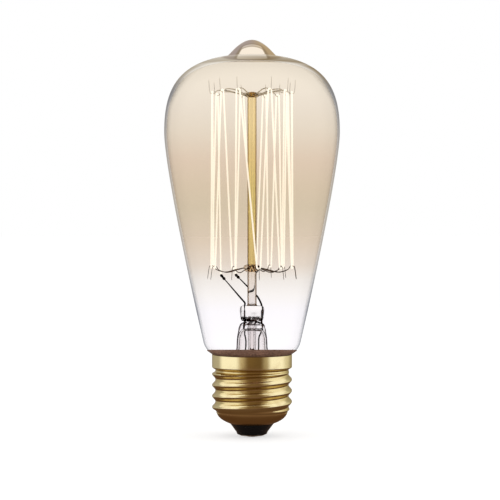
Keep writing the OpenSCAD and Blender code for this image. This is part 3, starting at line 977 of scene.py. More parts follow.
class Shade(Enum):
    """The finishes of the lamp."""

    BULB = Glass(
        "amber_bulb_glass", "amber_glass", 20.0, 131.0,
        stops=((0.0, (0.985, 0.975, 0.985)), (0.19, (0.978, 0.965, 0.982)), (0.24, (0.965, 0.945, 0.934)),
               (0.285, (0.927, 0.90, 0.875)), (0.33, (0.878, 0.82, 0.76)), (0.40, (0.845, 0.768, 0.68)),
               (0.50, (0.812, 0.741, 0.635)), (0.56, (0.828, 0.747, 0.642)), (0.64, (0.858, 0.768, 0.675)),
               (0.73, (0.892, 0.832, 0.75)), (0.80, (0.917, 0.864, 0.793)), (0.86, (0.942, 0.893, 0.82)),
               (1.0, (0.94, 0.885, 0.80))),
        edges=((0.34, WHITE), (0.70, (0.96, 0.96, 0.96)), (1.0, (0.90, 0.90, 0.90))),
        outline=(0.74, 0.68, 0.60), outline_from=0.97, ior=1.002, crown=Crown())
    STEM = Glass(
        "clear_stem_glass", "clear_glass", 12.0, 45.0,
        stops=((0.0, (0.93, 0.91, 0.90)), (1.0, (0.93, 0.91, 0.91))),
        edges=((0.30, WHITE), (0.55, (0.80, 0.78, 0.77)), (0.75, (0.35, 0.31, 0.30)),
               (1.0, (0.10, 0.08, 0.08))),
        outline=(0.06, 0.04, 0.035), outline_from=0.52, outline_to=0.82, flatness=0.25,
        ior=1.15, ripple_scale=400.0, ripple_depth=0.05, soot_z=(36.2, 40.2))
    TUBE = Glass(
        "exhaust_tube_glass", "clear_glass", 12.0, 45.0,
        stops=((0.0, (0.93, 0.91, 0.90)), (1.0, (0.93, 0.91, 0.91))),
        edges=((0.20, WHITE), (0.50, (0.80, 0.77, 0.76)), (1.0, (0.20, 0.17, 0.17))),
        outline=(0.10, 0.08, 0.08), outline_from=0.35, outline_to=0.75, ior=1.2)
    PRESS = Glass(
        "pressed_stem_glass", "clear_glass", 36.0, 45.0,
        stops=((0.0, (0.95, 0.93, 0.91)), (1.0, (0.97, 0.96, 0.94))),
        edges=((0.25, WHITE), (0.45, (0.72, 0.68, 0.66)), (0.70, (0.25, 0.20, 0.18)),
               (1.0, (0.06, 0.04, 0.04))),
        outline=(0.045, 0.03, 0.025), outline_from=0.50, outline_to=0.80, flatness=0.4,
        ripple_scale=700.0, ripple_depth=0.12, soot_z=(36.4, 40.0))
    # The rod's golden tint from the lower bead up is painted light of the filament; below it the rod is grey
    ROD = Glass(
        "rod_glass_painted_glow", "rod_glass", 42.0, 114.0,
        stops=((0.0, (0.05, 0.03, 0.025)), (0.012, (0.10, 0.07, 0.06)), (0.03, (0.80, 0.76, 0.74)),
               (0.165, (0.88, 0.81, 0.74)), (0.20, (0.72, 0.58, 0.25)), (0.36, (0.84, 0.73, 0.33)),
               (0.60, (0.88, 0.79, 0.37)), (0.86, (0.94, 0.81, 0.48)), (1.0, (0.88, 0.74, 0.44))),
        edges=((0.08, WHITE), (0.24, (0.90, 0.87, 0.82)), (0.40, (0.58, 0.49, 0.38)),
               (0.60, (0.34, 0.25, 0.15)), (1.0, (0.24, 0.17, 0.09))),
        outline=(0.36, 0.26, 0.17), outline_from=0.55, edge_shade_turn=(0.22, 0.45),
        ripple_scale=500.0, ripple_depth=0.04)
    TOP_BEAD = Glass(
        "upper_bead_glass", "bead_glass", 111.0, 114.5,
        stops=((0.0, (0.50, 0.38, 0.18)), (1.0, (0.66, 0.54, 0.30))),
        edges=((0.3, WHITE), (1.0, (0.45, 0.35, 0.25))),
        outline=(0.2, 0.12, 0.06), ripple_scale=900.0, ripple_depth=0.15)
    LOW_BEAD = Glass(
        "lower_bead_glass", "bead_glass", 54.0, 57.5,
        stops=((0.0, (0.95, 0.87, 0.77)), (1.0, (0.92, 0.81, 0.68))),
        edges=((0.3, WHITE), (0.65, (0.72, 0.57, 0.43)), (1.0, (0.40, 0.28, 0.18))),
        outline=(0.20, 0.13, 0.08), outline_from=0.60, outline_to=0.95, ior=1.2,
        ripple_scale=900.0, ripple_depth=0.10)
    COIL = GlowingCoil("glowing_coil", "filament")
    SUPPORT = Metal("support_steel", "support_wire", (0.10, 0.072, 0.052), (0.05, 0.036, 0.026),
                    edge=(0.25, 0.22, 0.20))
    # A lighter copy of the support steel for the upper star: painted light
    LIT_SUPPORT = Metal("support_steel_painted_light", "support_wire", (0.46, 0.42, 0.35), (0.26, 0.23, 0.19))
    CLAMP = Metal("crimped_clamp_steel", "clamp_steel", (0.012, 0.010, 0.009), (0.006, 0.005, 0.005),
                  gloss=(0.4, 0.6), edge=(0.06, 0.05, 0.05))
    LEAD = Metal("dark_lead_wire", "lead_wire", (0.008, 0.006, 0.005), (0.005, 0.004, 0.004),
                 gloss=(0.4, 0.6), edge=(0.06, 0.05, 0.05))
    SEAL = Metal("copper_clad_wire", "seal_wire", (0.030, 0.012, 0.008), (0.010, 0.005, 0.004),
                 edge=(0.08, 0.06, 0.05))
    OUTER = Metal("tinned_outer_wire", "outer_wire", (0.020, 0.016, 0.014), (0.010, 0.008, 0.007),
                  edge=(0.10, 0.08, 0.08))
    BRASS = Brass("rolled_brass", "cap_brass")
    INSULATOR = BlackGlass("poured_black_glass", "black_glass")
    CONTACT = Metal("plated_contact", "contact_metal", (0.42, 0.38, 0.30), (0.15, 0.12, 0.09))
    SOLDER = Metal("grey_solder", "solder", (0.24, 0.24, 0.25), (0.10, 0.10, 0.10),
                   gloss=(0.28, 0.6), patch_scale=700.0)
    CEMENT = Cement("baked_cement", "cement")


class Paints:
    """Makes each finish's material once."""

    def __init__(self) -> None:
        """Builds the shared effects."""
        self.effects = Effects()
        self.made: dict[Shade, bpy.types.Material] = {}

    def of(self, shade: Shade) -> bpy.types.Material:
        """The material of a finish, built at its first use."""
        if shade not in self.made:
            finish = shade.value
            self.made[shade] = new_material(finish.name, lambda net: finish.build(net, self.effects))
        return self.made[shade]


# Sub-assemblies


@dataclass
class Assembly:
    """A sub-assembly that turns meshes into the lamp's named pieces."""

    paints: Paints
    sharp_deg: float = field(default=50.0, kw_only=True)
    wire_sides: int = field(default=10, kw_only=True)
    wire_cut: float = field(default=0.6, kw_only=True)

    def piece(self, name: str, bm: Form, shade: Shade, node: str) -> None:
        """Makes a finished piece that stands for a CAD node.

        Args:
            name: Name of the piece.
            bm: Its mesh, which is freed.
            shade: Its finish.
            node: The CAD node that it stands for.
        """
        for face in bm.faces:
            face.smooth = True
        made = placed(name, bm, self.paints.of(shade))
        made.data.set_sharp_from_angle(angle=math.radians(self.sharp_deg))
        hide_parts(node)
        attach(made, BODY)
        LOG.info("%s: %d faces, %s", name, len(made.data.polygons), shade.value.name)

    def wire(self, name: str, path: Sequence[Vector], radii: Radii, shade: Shade, node: str) -> None:
        """Makes a wire along a path, with its cut ends a little rounded."""
        self.piece(name, swept(path, radii, self.wire_sides, self.wire_cut), shade, node)


@dataclass
class Envelope(Assembly):
    """The blown bulb with its neck, its crown and the solid pip."""

    steps: int = 160
    wall: float = 0.8
    crown_t: float = 2.1
    crown_flat_r: float = 6.0
    widest_z: float = 100.5
    crown_r: float = 9.2
    pip_h: float = 5.7
    pip_foot_r: float = 8.1
    pip_edge: float = 0.5

    def __post_init__(self) -> None:
        """Takes the overall sizes from the frame."""
        room = Span.of("bulb_glass")
        self.radius = room.radius
        self.foot_z = room.low.z
        self.top_z = room.high.z
        self.crown_z = self.top_z - self.pip_h

    def _flank(self, inset: float) -> Bezier:
        """The long side from the neck to the widest ring, moved inwards."""
        low, high = NECK.top_r - inset, self.radius - inset
        return Bezier((low, NECK.top_z), (low + 5.8, NECK.top_z + 25), (high, self.widest_z - 9.5),
                      (high, self.widest_z))

    def outer(self) -> list[Point]:
        """Profile of the outside, from the neck's foot to the top of the pip."""
        dome = Bezier((self.radius, self.widest_z), (self.radius, self.widest_z + 14.3),
                      (self.crown_r + 15, self.crown_z - 2.35), (self.crown_r, self.crown_z))
        pip_foot = Bezier((self.crown_r, self.crown_z), (self.crown_r - 0.9, self.crown_z + 0.08),
                          (self.pip_foot_r + 0.4, self.crown_z), (self.pip_foot_r, self.crown_z + 0.3))
        pip = Bezier((self.pip_foot_r, self.crown_z + 0.3), (self.pip_foot_r - 2.0, self.crown_z + 2.3),
                     (self.pip_foot_r * 0.43, self.top_z), (0.0, self.top_z))
        return [(NECK.low_r, self.foot_z), (NECK.low_r, NECK.step_z[0]), (NECK.in_cap_r, NECK.step_z[1]),
                (NECK.in_cap_r, NECK.rim_z), *NECK.taper(0.0).points(12), *self._flank(0.0).points(36),
                *dome.points(32), *pip_foot.points(8), *pip.points(18)]

    def inner(self) -> list[Point]:
        """Profile of the inside, from under the solid pip down to the neck's foot."""
        top = self.crown_z - self.crown_t
        wide = self.radius - self.wall
        dome = Bezier((self.crown_flat_r, top), (self.crown_r + 13.3, top), (wide, self.widest_z + 14.2),
                      (wide, self.widest_z))
        down = list(reversed(self._flank(self.wall).points(36)))
        foot, low = NECK.low_r - self.wall, NECK.in_cap_r - self.wall
        neck = Bezier((NECK.top_r - self.wall, NECK.top_z), (NECK.top_r - 1.3, NECK.top_z - 2.4),
                      (low + 2.0, NECK.rim_z + 1.1), (low, NECK.rim_z + 0.2))
        return [(0.0, top), (self.crown_flat_r, top), *dome.points(32), *down[1:], neck.start,
                *neck.points(12), (low, NECK.step_z[1] + 0.3), (foot, NECK.step_z[0] + 0.3),
                (foot, self.foot_z)]

    def build(self) -> None:
        """Makes the bulb in one piece of glass."""
        bm = lathe([*self.inner(), *self.outer()], self.steps)
        bm.normal_update()
        middle = Vector((0, 0, self.widest_z * MM))

        def pip(vert: bmesh.types.BMVert) -> float:
            """Marks the pip, with a soft edge at its foot.

            Args:
                vert: A vertex of the bulb.

            Returns:
                1 on the pip, and 0 off it.
            """
            on_top = vert.co.z / MM > self.crown_z - self.pip_edge
            inside = self.crown_r + self.pip_edge - vert.co.xy.length / MM
            return eased(inside / self.pip_edge) if on_top else 0.0

        marked(bm, PIP, pip)
        marked(bm, SKIN, lambda vert: float(vert.normal.dot(vert.co - middle) > 0))
        self.piece("blown_bulb", bm, Shade.BULB, "bulb_glass")


@dataclass
class Stem(Assembly):
    """Flared tube, press, exhaust tube, arbor rod and the two beads."""

    steps: int = 64
    waist_z: float = 38.0
    press_w: float = 8.0
    press_t: float = 3.6
    tube_r: float = 4.3
    tube_mid: Point = (5.1, 29.5)
    tube_wall: float = 0.7
    exhaust_r: float = 1.3
    exhaust_bore_r: float = 0.65
    rod_r: float = 1.5
    rod_foot: float = 0.42
    # Painted edge shade on the rod below this height, and its share
    edge_shade_z: float = 54.0
    edge_shade_share: float = 0.85
    bead_steps: int = 56

    def build(self) -> None:
        """Makes the glass pieces from the foot of the flare to the upper bead."""
        self.flare()
        self.press()
        self.exhaust_tube()
        self.rod()
        self.bead("upper_bead", "top_bead", Shade.TOP_BEAD, lumps=0.12, seed=3.0)
        self.bead("lower_bead", "lower_bead", Shade.LOW_BEAD, lumps=0.18, seed=9.0)

    def flare(self) -> None:
        """The tube below the press, pinched at its top and opened out at its foot."""
        room = Span.of("stem_flare")
        foot_r, foot_z = room.radius, room.low.z
        mid_r, mid_z = self.tube_mid
        wide_r = self.tube_r + 0.25
        shoulder = Bezier((0.0, self.waist_z), (self.tube_r * 0.7, self.waist_z),
                          (self.tube_r, self.waist_z - 0.4), (wide_r, self.waist_z - 3.2))
        side = Bezier(shoulder.end, (mid_r - 0.2, self.waist_z - 4.6), (mid_r, mid_z + 2), (mid_r, mid_z))
        bell = Bezier(side.end, (mid_r + 0.4, mid_z - 4), (foot_r - 2.4, foot_z + 3.0),
                      (foot_r - 0.9, foot_z + 0.8))
        outside = [shoulder.start, *shoulder.points(12), *side.points(8), *bell.points(14),
                   (foot_r, foot_z + 0.8), (foot_r, foot_z)]
        inner_bell = [(r - self.tube_wall, z - 0.15) for r, z in [bell.start, *bell.points(14)][:-1]]
        top_z = self.waist_z - 2.6
        inside = [(foot_r - 1.5, foot_z), *reversed(inner_bell),
                  (mid_r - self.tube_wall - 0.15, self.waist_z - 5.5),
                  (self.tube_r - self.tube_wall, top_z - 0.9), (self.tube_r - 1.4, top_z - 0.15),
                  (0.0, top_z)]

        def crumple(place: Vector) -> Vector:
            """Wrinkles the hot-pressed shoulder and leaves the rest smooth.

            Args:
                place: A place on the smooth tube.

            Returns:
                The place after the press.
            """
            near = eased((place.z - self.waist_z + 4.2) / 2.4)
            pinch = 1 - 0.25 * eased((place.z - self.waist_z + 2.2) / 2.0)
            wrinkle = min(near * rough(place, 1.3, 0.45, 5.0), 0.1)
            return Vector((place.x, place.y * pinch, place.z)) + outwards(place) * wrinkle

        self.piece("flared_tube", reshaped(lathe([*outside, *inside], self.steps), crumple),
                   Shade.STEM, "stem_flare")

    def press(self) -> None:
        """The flattened block of glass that grips the leads, with painted edge shade down its sides."""
        room = Span.of("stem_press")
        low, high = room.low.z, room.high.z
        half_w, half_t = self.press_w / 2, self.press_t / 2
        rise = Bezier((0.70, low), (0.90, low), (0.93, low + 0.5), (0.95, low + 1.6))
        crown = Bezier((1.0, high - 1.9), (1.0, high - 0.5), (0.97, high), (0.70, high))
        outline = [(0.0, low), rise.start, *rise.points(6), (0.98, (low + high) / 2),
                   crown.start, *crown.points(8), (0.0, high - 0.15)]

        def flatten(place: Vector) -> Vector:
            """Turns the round section into a rounded block with a shallow groove each side.

            Args:
                place: A place on a round block with a radius of 1.

            Returns:
                The place on the pressed block.
            """
            radius = math.hypot(place.x, place.y)
            if radius < 1e-6:
                return place
            across, deep = place.x / radius, place.y / radius
            x = half_w * radius * math.copysign(abs(across) ** 0.72, across)
            groove = 1 - 0.14 * math.exp(-((abs(x) - 2.3) / 0.5) ** 2)
            y = half_t * radius * groove * math.copysign(abs(deep) ** 0.75, deep)
            return Vector((x, y, place.z + rough(Vector((x, y, place.z)), 1.8, 0.06, 2.0)))

        def edge_shaded(vert: bmesh.types.BMVert) -> float:
            """Lays uneven painted edge shade on the two sides and a short dark dash near the top.

            Args:
                vert: A vertex of the block.

            Returns:
                Share of the soot.
            """
            place = vert.co / MM
            side = eased((abs(place.x) / half_w - 0.78) / 0.12)
            dash = eased(1 - abs(place.x - 0.6) / 1.3) * eased(1 - abs(place.z - high + 2.3) / 0.4)
            return max(side * (0.55 + rough(place, 1.2, 0.6, 7.0)), 0.5 * dash)

        bm = reshaped(lathe(outline, self.steps), flatten)
        self.piece("pressed_block", marked(bm, EDGE_SHADE, edge_shaded), Shade.PRESS, "stem_press")

    def exhaust_tube(self) -> None:
        """The thin tube on the axis, sealed off below and opened out under the press."""
        room = Span.of("exhaust_tube")
        tip, top, radius, bore_r = room.low.z, room.high.z, self.exhaust_r, self.exhaust_bore_r
        foot = Bezier((0.0, tip), (radius * 0.7, tip), (radius, tip + 0.5), (radius, tip + 1.6))
        bm = lathe([foot.start, *foot.points(8), (radius, top - 1.2), (radius + 0.02, top),
                    (bore_r, top), (bore_r, tip + 2.6), (0.0, tip + 2.0)], self.steps // 2)
        self.piece("exhaust_tube_glass", bm, Shade.TUBE, "exhaust_tube")

    def rod(self) -> None:
        """The arbor rod, with a fused foot on the press, a fire-polished top and painted edge shade below."""
        top = Span.of("arbor_rod").high.z
        foot = Span.of("stem_press").high.z + 0.02
        radius = self.rod_r
        fillet = Bezier((radius + self.rod_foot, foot), (radius + 0.1, foot + 0.15),
                        (radius, foot + 0.35), (radius, foot + 0.9))
        cap = Bezier((radius, top - 0.6), (radius, top - 0.2), (radius * 0.7, top), (0.0, top))
        bm = lathe([(0.0, foot), fillet.start, *fillet.points(6), cap.start, *cap.points(6)], 48)
        bmesh.ops.bisect_plane(bm, geom=[*bm.verts, *bm.edges, *bm.faces],
                               plane_co=(0, 0, self.edge_shade_z * MM), plane_no=(0, 0, 1))
        marked(bm, EDGE_SHADE, lambda vert: self.edge_shade_share if vert.co.z < (self.edge_shade_z + 0.1) * MM else 0.0)
        self.piece("arbor_rod_glass", bm, Shade.ROD, "arbor_rod")

    def bead(self, name: str, node: str, shade: Shade, lumps: float, seed: float) -> None:
        """A fused bead round the rod, lumpy where it was squeezed on to the wires.

        Args:
            name: Name of the piece.
            node: CAD node that it stands for.
            shade: Its finish.
            lumps: Depth of the lumps in millimetres.
            seed: Shift of the lumps.
        """
        room = Span.of(node)
        bore = self.rod_r + 0.03
        low, mid, high = room.low.z, room.mid.z, room.high.z
        reach = room.radius - lumps
        under = Bezier((bore, low), (reach - 1.0, low), (reach, low + 0.3), (reach, mid))
        over = Bezier((reach, mid), (reach, high - 0.3), (reach - 0.8, high), (bore, high))

        def lump(place: Vector) -> Vector:
            """Moves the outside in and out, and leaves the bore round."""
            share = eased((math.hypot(place.x, place.y) - bore) / 0.6)
            return place + outwards(place) * (share * rough(place, 0.9, lumps, seed))

        bm = lathe([under.start, *under.points(9), *over.points(9)], self.bead_steps, closed=True)
        self.piece(name, reshaped(bm, lump), shade, node)


@dataclass(frozen=True)
class Star:
    """A ring of hooked wires round one bead.

    The arm's point is counted from the axis and the bead's middle, and the hook's points from the
    place where the filament hangs. Shares are those of the full thickness, at the bead and at the
    free end.
    """

    nodes: str
    pieces: str
    bead: str
    shade: Shade
    shares: Ends
    up: int
    reach: float
    lift: float
    arm: Point
    hook: Sequence[Point]

    def found(self) -> list[str]:
        """Its CAD nodes, in the order of their numbers."""
        found = [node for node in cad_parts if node.startswith(self.nodes)]
        return sorted(found, key=lambda node: int(node.removeprefix(self.nodes)))

    @property
    def hook_z(self) -> float:
        """Height at which the filament hangs."""
        return Span.of(self.bead).mid.z + self.lift

    def flat(self, root: float) -> list[Point]:
        """Draws one wire in its own plane.

        Args:
            root: How deep it sits in the bead.

        Returns:
            Its points, from the bead to the free end.
        """
        bead = Span.of(self.bead)
        middle, (arm_r, arm_z) = bead.mid.z, self.arm
        return [(bead.radius - root, middle), (bead.radius + 0.3, middle), (arm_r, middle + arm_z),
                *((self.reach + out, self.hook_z + rise) for out, rise in self.hook)]

    def half_turn(self, node: str, bend: float, steps: int) -> list[Vector]:
        """The filament's way round one hook.

        Args:
            node: CAD node of the hook's wire.
            bend: Radius of the turn.
            steps: Steps of the turn.

        Returns:
            Points of half a turn.
        """
        azimuth = Span.of(node).azimuth
        side = polar(bend, azimuth + 90, 0)
        turn = []
        for step in range(steps + 1):
            angle = math.pi * (1 - step / steps)
            place = polar(self.reach, azimuth, self.hook_z + self.up * bend * math.sin(angle))
            turn.append(place + side * math.cos(angle))
        return turn


@dataclass
class Cage(Assembly):
    """The wire stars on the beads and the filament strung between them."""

    top: Star = Star(
        "top_support_", "upper_hook_", "top_bead", Shade.LIT_SUPPORT, (1.0, 0.35),
        up=1, reach=13.2, lift=0.4, arm=(4.62, 0.5),
        hook=((-5.016, 0.95), (-1.9, 0.95), (-0.6, 0.0), (0.5, 0.0), (0.9, 0.9), (1.15, 4.4)))
    low: Star = Star(
        "lower_support_", "lower_hook_", "lower_bead", Shade.SUPPORT, (0.75, 0.45),
        up=-1, reach=13.7, lift=0.7, arm=(5.48, -0.5),
        hook=((-4.658, -2.0), (-1.6, -1.2), (-0.6, 0.0), (0.5, 0.0), (0.9, -0.9), (1.4, -4.3)))
    wire_r: float = 0.2
    wire_root: float = 0.8
    span_steps: int = 5
    filament_r: float = 0.3
    hook_gap: float = 0.1
    coil_pitch: float = 0.5
    coil_waist: float = 0.8
    turn_steps: int = 8

    def build(self) -> None:
        """Makes the supports one by one, then the filament."""
        for star in (self.top, self.low):
            for node in star.found():
                self.support(star, node)
        self.filament()

    def support(self, star: Star, node: str) -> None:
        """Makes one support wire in the plane of its CAD node.

        Args:
            star: The star that the wire is part of.
            node: CAD node that it stands for.
        """
        azimuth = Span.of(node).azimuth
        corners = [polar(radius, azimuth, height) for radius, height in star.flat(self.wire_root)]
        path = through(corners, self.span_steps)
        last = len(path) - 1
        at_bead, at_end = star.shares
        radii = [self.wire_r * (at_bead + (at_end - at_bead) * eased(1.5 * index / last - 0.3))
                 for index in range(last + 1)]
        self.wire(node.replace(star.nodes, star.pieces), path, radii, star.shade, node)

    def route(self) -> list[Vector]:
        """The unbroken way of the filament from clamp to clamp."""
        bend = self.wire_r + self.filament_r + self.hook_gap
        low_nodes = self.low.found()
        way = [self.clamp_end("clamp_left")]
        for index, node in enumerate(self.top.found()):
            way += self.top.half_turn(node, bend, self.turn_steps)
            if index < len(low_nodes):
                way += self.low.half_turn(low_nodes[index], bend, self.turn_steps)
        return [*way, self.clamp_end("clamp_right")]

    @staticmethod
    def clamp_end(node: str) -> Vector:
        """Where the filament leaves a clamp: its end away from the axis, at its upper edge."""
        room = Span.of(node)
        return Vector((room.low.x + 0.4, room.high.y - 0.4, room.high.z - 0.1))

    def filament(self) -> None:
        """The filament as one ribbed tube: a turn of the coil is a swelling."""
        path = evenly(self.route(), self.coil_pitch / 2)
        radii = [self.filament_r * (1.0 if index % 2 else self.coil_waist) for index in range(len(path))]
        self.piece("coiled_filament", swept(path, radii, 8), Shade.COIL, "filament")


@dataclass
class Leads(Assembly):
    """Clamps, inner leads, the wires in the press and the outer leads.

    The clamps' height is counted from the middle of the lower bead.
    """

    lead_r: float = 0.30
    seal_r: float = 0.33
    outer_r: float = 0.25
    clamp_r: float = 0.5
    clamp_len: float = 2.6
    clamp_swell: Sequence[float] = (0.55, 0.95, 1.0, 1.0, 0.78, 0.74, 0.80, 1.0, 1.0, 0.9, 0.6)
    clamp_reach: float = 13.7
    clamp_z: float = -2.4
    left_x: float = 2.4
    right_x: float = 3.2
    left_azimuth: float = 140.0
    right_azimuth: float = 114.0
    side_azimuth: float = 60.0
    side_rise_r: float = 12.425
    seat: float = 1.2

    def __post_init__(self) -> None:
        """Takes the heights from the frame."""
        self.press_top = Span.of("stem_press").high.z
        self.press_low = Span.of("stem_press").low.z
        self.tip_z = Span.of("lower_bead").mid.z + self.clamp_z

    def build(self) -> None:
        """Makes the wires from the clamps down to the cap."""
        top = self.press_top
        self.inner_lead("left", self.left_azimuth, Vector((-self.left_x, 0, top - self.seat)),
                        [Vector((-self.left_x, 0, top + 1.0))])
        # The right one passes behind the rod.
        self.inner_lead("right", self.right_azimuth, Vector((self.right_x, 0, top - self.seat)),
                        [Vector((self.right_x - 0.4, 0.3, top + 1.2)),
                         Vector((self.right_x - 1.3, 1.4, top + 2.8)), Vector((0.4, 2.725, top + 4.4))])
        self.seal_wires()
        self.centre_lead()
        self.side_lead()

    def inner_lead(self, side: str, azimuth: float, root: Vector, bends: Sequence[Vector]) -> None:
        """Makes a clamp and the lead that holds it.

        Args:
            side: Left or right.
            azimuth: Direction of the clamp's tip, in degrees.
            root: The lead's foot in the press.
            bends: Its bends, after which it runs straight to the clamp.
        """
        tip = polar(self.clamp_reach, azimuth, self.tip_z)
        way = (tip - bends[-1]).normalized()
        straight = 2.0 if len(bends) == 1 else 1.0
        last = len(self.clamp_swell) - 1
        sleeve = [tip - way * self.clamp_len * (1 - index / last) for index in range(last + 1)]
        radii = [self.clamp_r * share for share in self.clamp_swell]
        self.piece(f"{side}_clamp", swept(sleeve, radii, 12), Shade.CLAMP, f"clamp_{side}")
        curve = through([root + Vector((0, 0, 1.3)), *bends, bends[-1] + way * straight], 8)
        path = [root, *curve, tip - way * self.clamp_len]
        self.wire(f"{side}_inner_lead", path, self.lead_r, Shade.LEAD, f"inner_lead_{side}")

    def seal_wires(self) -> None:
        """The copper-clad wires in the glass of the press."""
        top, foot = self.press_top - self.seat, self.press_low - 2.6
        for side, x in (("left", -self.left_x), ("right", self.right_x)):
            points = [Vector((x, 0, foot)), Vector((x * 0.99, 0.03, (foot + top) / 2)), Vector((x, 0, top))]
            self.wire(f"{side}_seal_wire", through(points, 6), self.seal_r, Shade.SEAL, f"seal_wire_{side}")

    def centre_lead(self) -> None:
        """The outer lead down to the centre contact."""
        room = Span.of("centre_lead")
        start = room.high.z
        path = [(-self.left_x, start), (-self.left_x, start - 1.6), (-2.0, 31.0), (-2.4, 24.0),
                (-2.3, 16.0), (-1.3, 11.7), (0.0, 9.0), (0.0, room.low.z)]
        curve = through([Vector((x, 0, z)) for x, z in path], 7)
        self.wire("centre_outer_lead", curve, self.outer_r, Shade.OUTER, "centre_lead")

    def side_lead(self) -> None:
        """The outer lead that turns under the flare and up to the rim of the cap."""
        start = Span.of("side_lead").high.z
        rim = Span.of("rim_solder").low.z
        free = [Vector((self.right_x, 0, start)), Vector((self.right_x - 0.3, 0, start - 1.2)),
                Vector((2.3, 0, 32.6)), Vector((2.2, 0.6, 29.0))]
        hidden = [(4.0, 24.0), (5.5, 20.0), (8.0, 17.8), (10.2, 17.8), (11.1, 19.2), (11.1, 22.8),
                  (self.side_rise_r, 24.8), (self.side_rise_r, rim - 0.4), (self.side_rise_r, rim)]
        path = free + [polar(radius, self.side_azimuth, height) for radius, height in hidden]
        self.wire("side_outer_lead", through(path, 6), self.outer_r, Shade.OUTER, "side_lead")


@dataclass
class Cap(Assembly):
    """Brass shell with its rolled thread, black glass, contact, solders and cement."""

    steps: int = 192
    thread_r: float = 13.225
    thread_depth: float = 1.1
    thread_pitch: float = 3.629
    crest_power: float = 1.1
    crest_z: float = 18.79
    thread_z: float = 8.0
    collar_h: float = 4.4
    collar_step: float = 0.7
    brass_wall: float = 0.3
    land_h: float = 0.3
    runout: float = 0.9
    row: float = 0.18
    hole_r: float = 7.4
    lead_hole_r: float = 0.6
    rim_round: float = 0.06
    lip_z: float = 28.6
    lip_ends: Ends = (27.25, 29.85)
    cement_gap: float = 0.06
    cement_bite: float = 0.05
    draw: float = 0.35
    draw_z: tuple[float, float, float] = (5.0, 8.0, 9.2)

    def __post_init__(self) -> None:
        """Takes the shell's sizes from the frame."""
        room = Span.of("cap_shell")
        self.collar_r = room.radius
        self.rim_z = room.high.z
        self.foot_z = room.low.z
        self.collar_z = self.rim_z - self.collar_h
        self.thread_top = self.collar_z - self.collar_step
        self.root_r = self.thread_r - self.thread_depth

    def build(self) -> None:
        """Makes the cap from the shell inwards."""
        self.shell()
        self.insulator()
        self.plate()
        self.centre_solder()
        self.rim_solder()
        self.cement()

    def swell(self, height: float) -> float:
        """Share of the thread's depth at a height, none at its two ends."""
        up, down = height - self.thread_z - self.land_h, self.thread_top - self.land_h - height
        return min(eased(up / self.runout), eased(down / self.runout))

    def rolled(self, place: Vector) -> Vector:
        """Presses the thread out of the straight wall.

        Args:
            place: A place on the smooth shell.

        Returns:
            The place on the rolled shell.
        """
        turn = math.atan2(place.y, place.x)
        wave = 0.5 + 0.5 * math.cos(math.tau * (place.z - self.crest_z) / self.thread_pitch - turn)
        rise = self.thread_depth * self.swell(place.z) * wave ** self.crest_power
        return place + outwards(place) * rise

    def drawn(self, height: float) -> float:
        """How far the wall is drawn in at a height, where the thread ends in the bowl."""
        low, middle, high = self.draw_z
        rise, fall = (height - low) / (middle - low), (high - height) / (high - middle)
        return self.draw * min(eased(rise), eased(fall))

    def bowl(self) -> list[Point]:
        """Outside of the drawn-in bottom, from the hole up to the thread."""
        curve = Bezier((self.hole_r, self.foot_z), (self.hole_r + 2.0, self.foot_z + 0.75),
                       (self.root_r - 0.45, self.thread_z - 1.6), (self.root_r, self.thread_z))
        return [curve.start, *((r - self.drawn(z), z) for r, z in curve.points(20))]

    def shell(self) -> None:
        """The brass shell: bowl, thread and collar, turned smooth and then rolled."""
        height = self.thread_top - self.thread_z
        count = round(height / self.row)
        rows = [self.thread_z + height * index / count for index in range(1, count)]
        swage = Bezier((self.root_r, self.thread_top), (self.root_r + 0.1, self.collar_z - 0.25),
                       (self.collar_r, self.collar_z - 0.2), (self.collar_r, self.collar_z + 0.35))
        rim = Bezier((self.collar_r, self.rim_z - 0.3), (self.collar_r, self.rim_z - self.rim_round),
                     (self.collar_r - self.rim_round, self.rim_z), (self.collar_r - 0.15, self.rim_z))
        rim_points = rim.points(5)
        outside = [*self.bowl(), *((self.root_r - self.drawn(z), z) for z in rows), swage.start,
                   *swage.points(10), (self.collar_r, self.rim_z - 1.6), rim.start, *rim_points]
        inset = self.brass_wall
        inside = [(max(r - inset, self.hole_r - 0.1), z + (inset * 0.6 if z < self.thread_z else 0.0))
                  for r, z in outside[2:-1 - len(rim_points)]]
        bm = lathe([*outside, (self.collar_r - inset, self.rim_z), *reversed(inside)], self.steps,
                   closed=True)
        # Marks the faces that look down, which get painted shade
        marked(reshaped(bm, self.rolled), DOWN_SHADE, looks_down)
        self.piece("rolled_brass_shell", bm, Shade.BRASS, "cap_shell")

    def insulator(self) -> None:
        """The black glass that fills the bottom of the shell."""
        room, plate = Span.of("cap_insulator"), Span.of("contact_plate")
        low, high = room.low.z, room.high.z
        skin = self.brass_wall + 0.06
        seat_r, seat_z = plate.radius + 0.05, plate.high.z + 0.05
        follow = [(r - skin, z + skin * 0.7) for r, z in self.bowl()[3:-1]]
        cone = Bezier((5.15, low + 0.75), (6.0, low + 1.9), (6.8, low + 3.0), (7.25, self.foot_z - 0.1))
        outline = [(self.lead_hole_r, seat_z), (seat_r, seat_z), (seat_r, low), (4.6, low),
                   (4.85, low + 0.06), (5.02, low + 0.3), cone.start, *cone.points(8),
                   (7.05, self.foot_z + 0.1), *follow, (self.root_r - skin - 0.6, high),
                   (4.0, high), (2.2, high - 1.5), (self.lead_hole_r, high - 3.5)]
        bm = lathe(outline, self.steps // 2, closed=True)
        self.piece("black_glass_insulator", bm, Shade.INSULATOR, "cap_insulator")

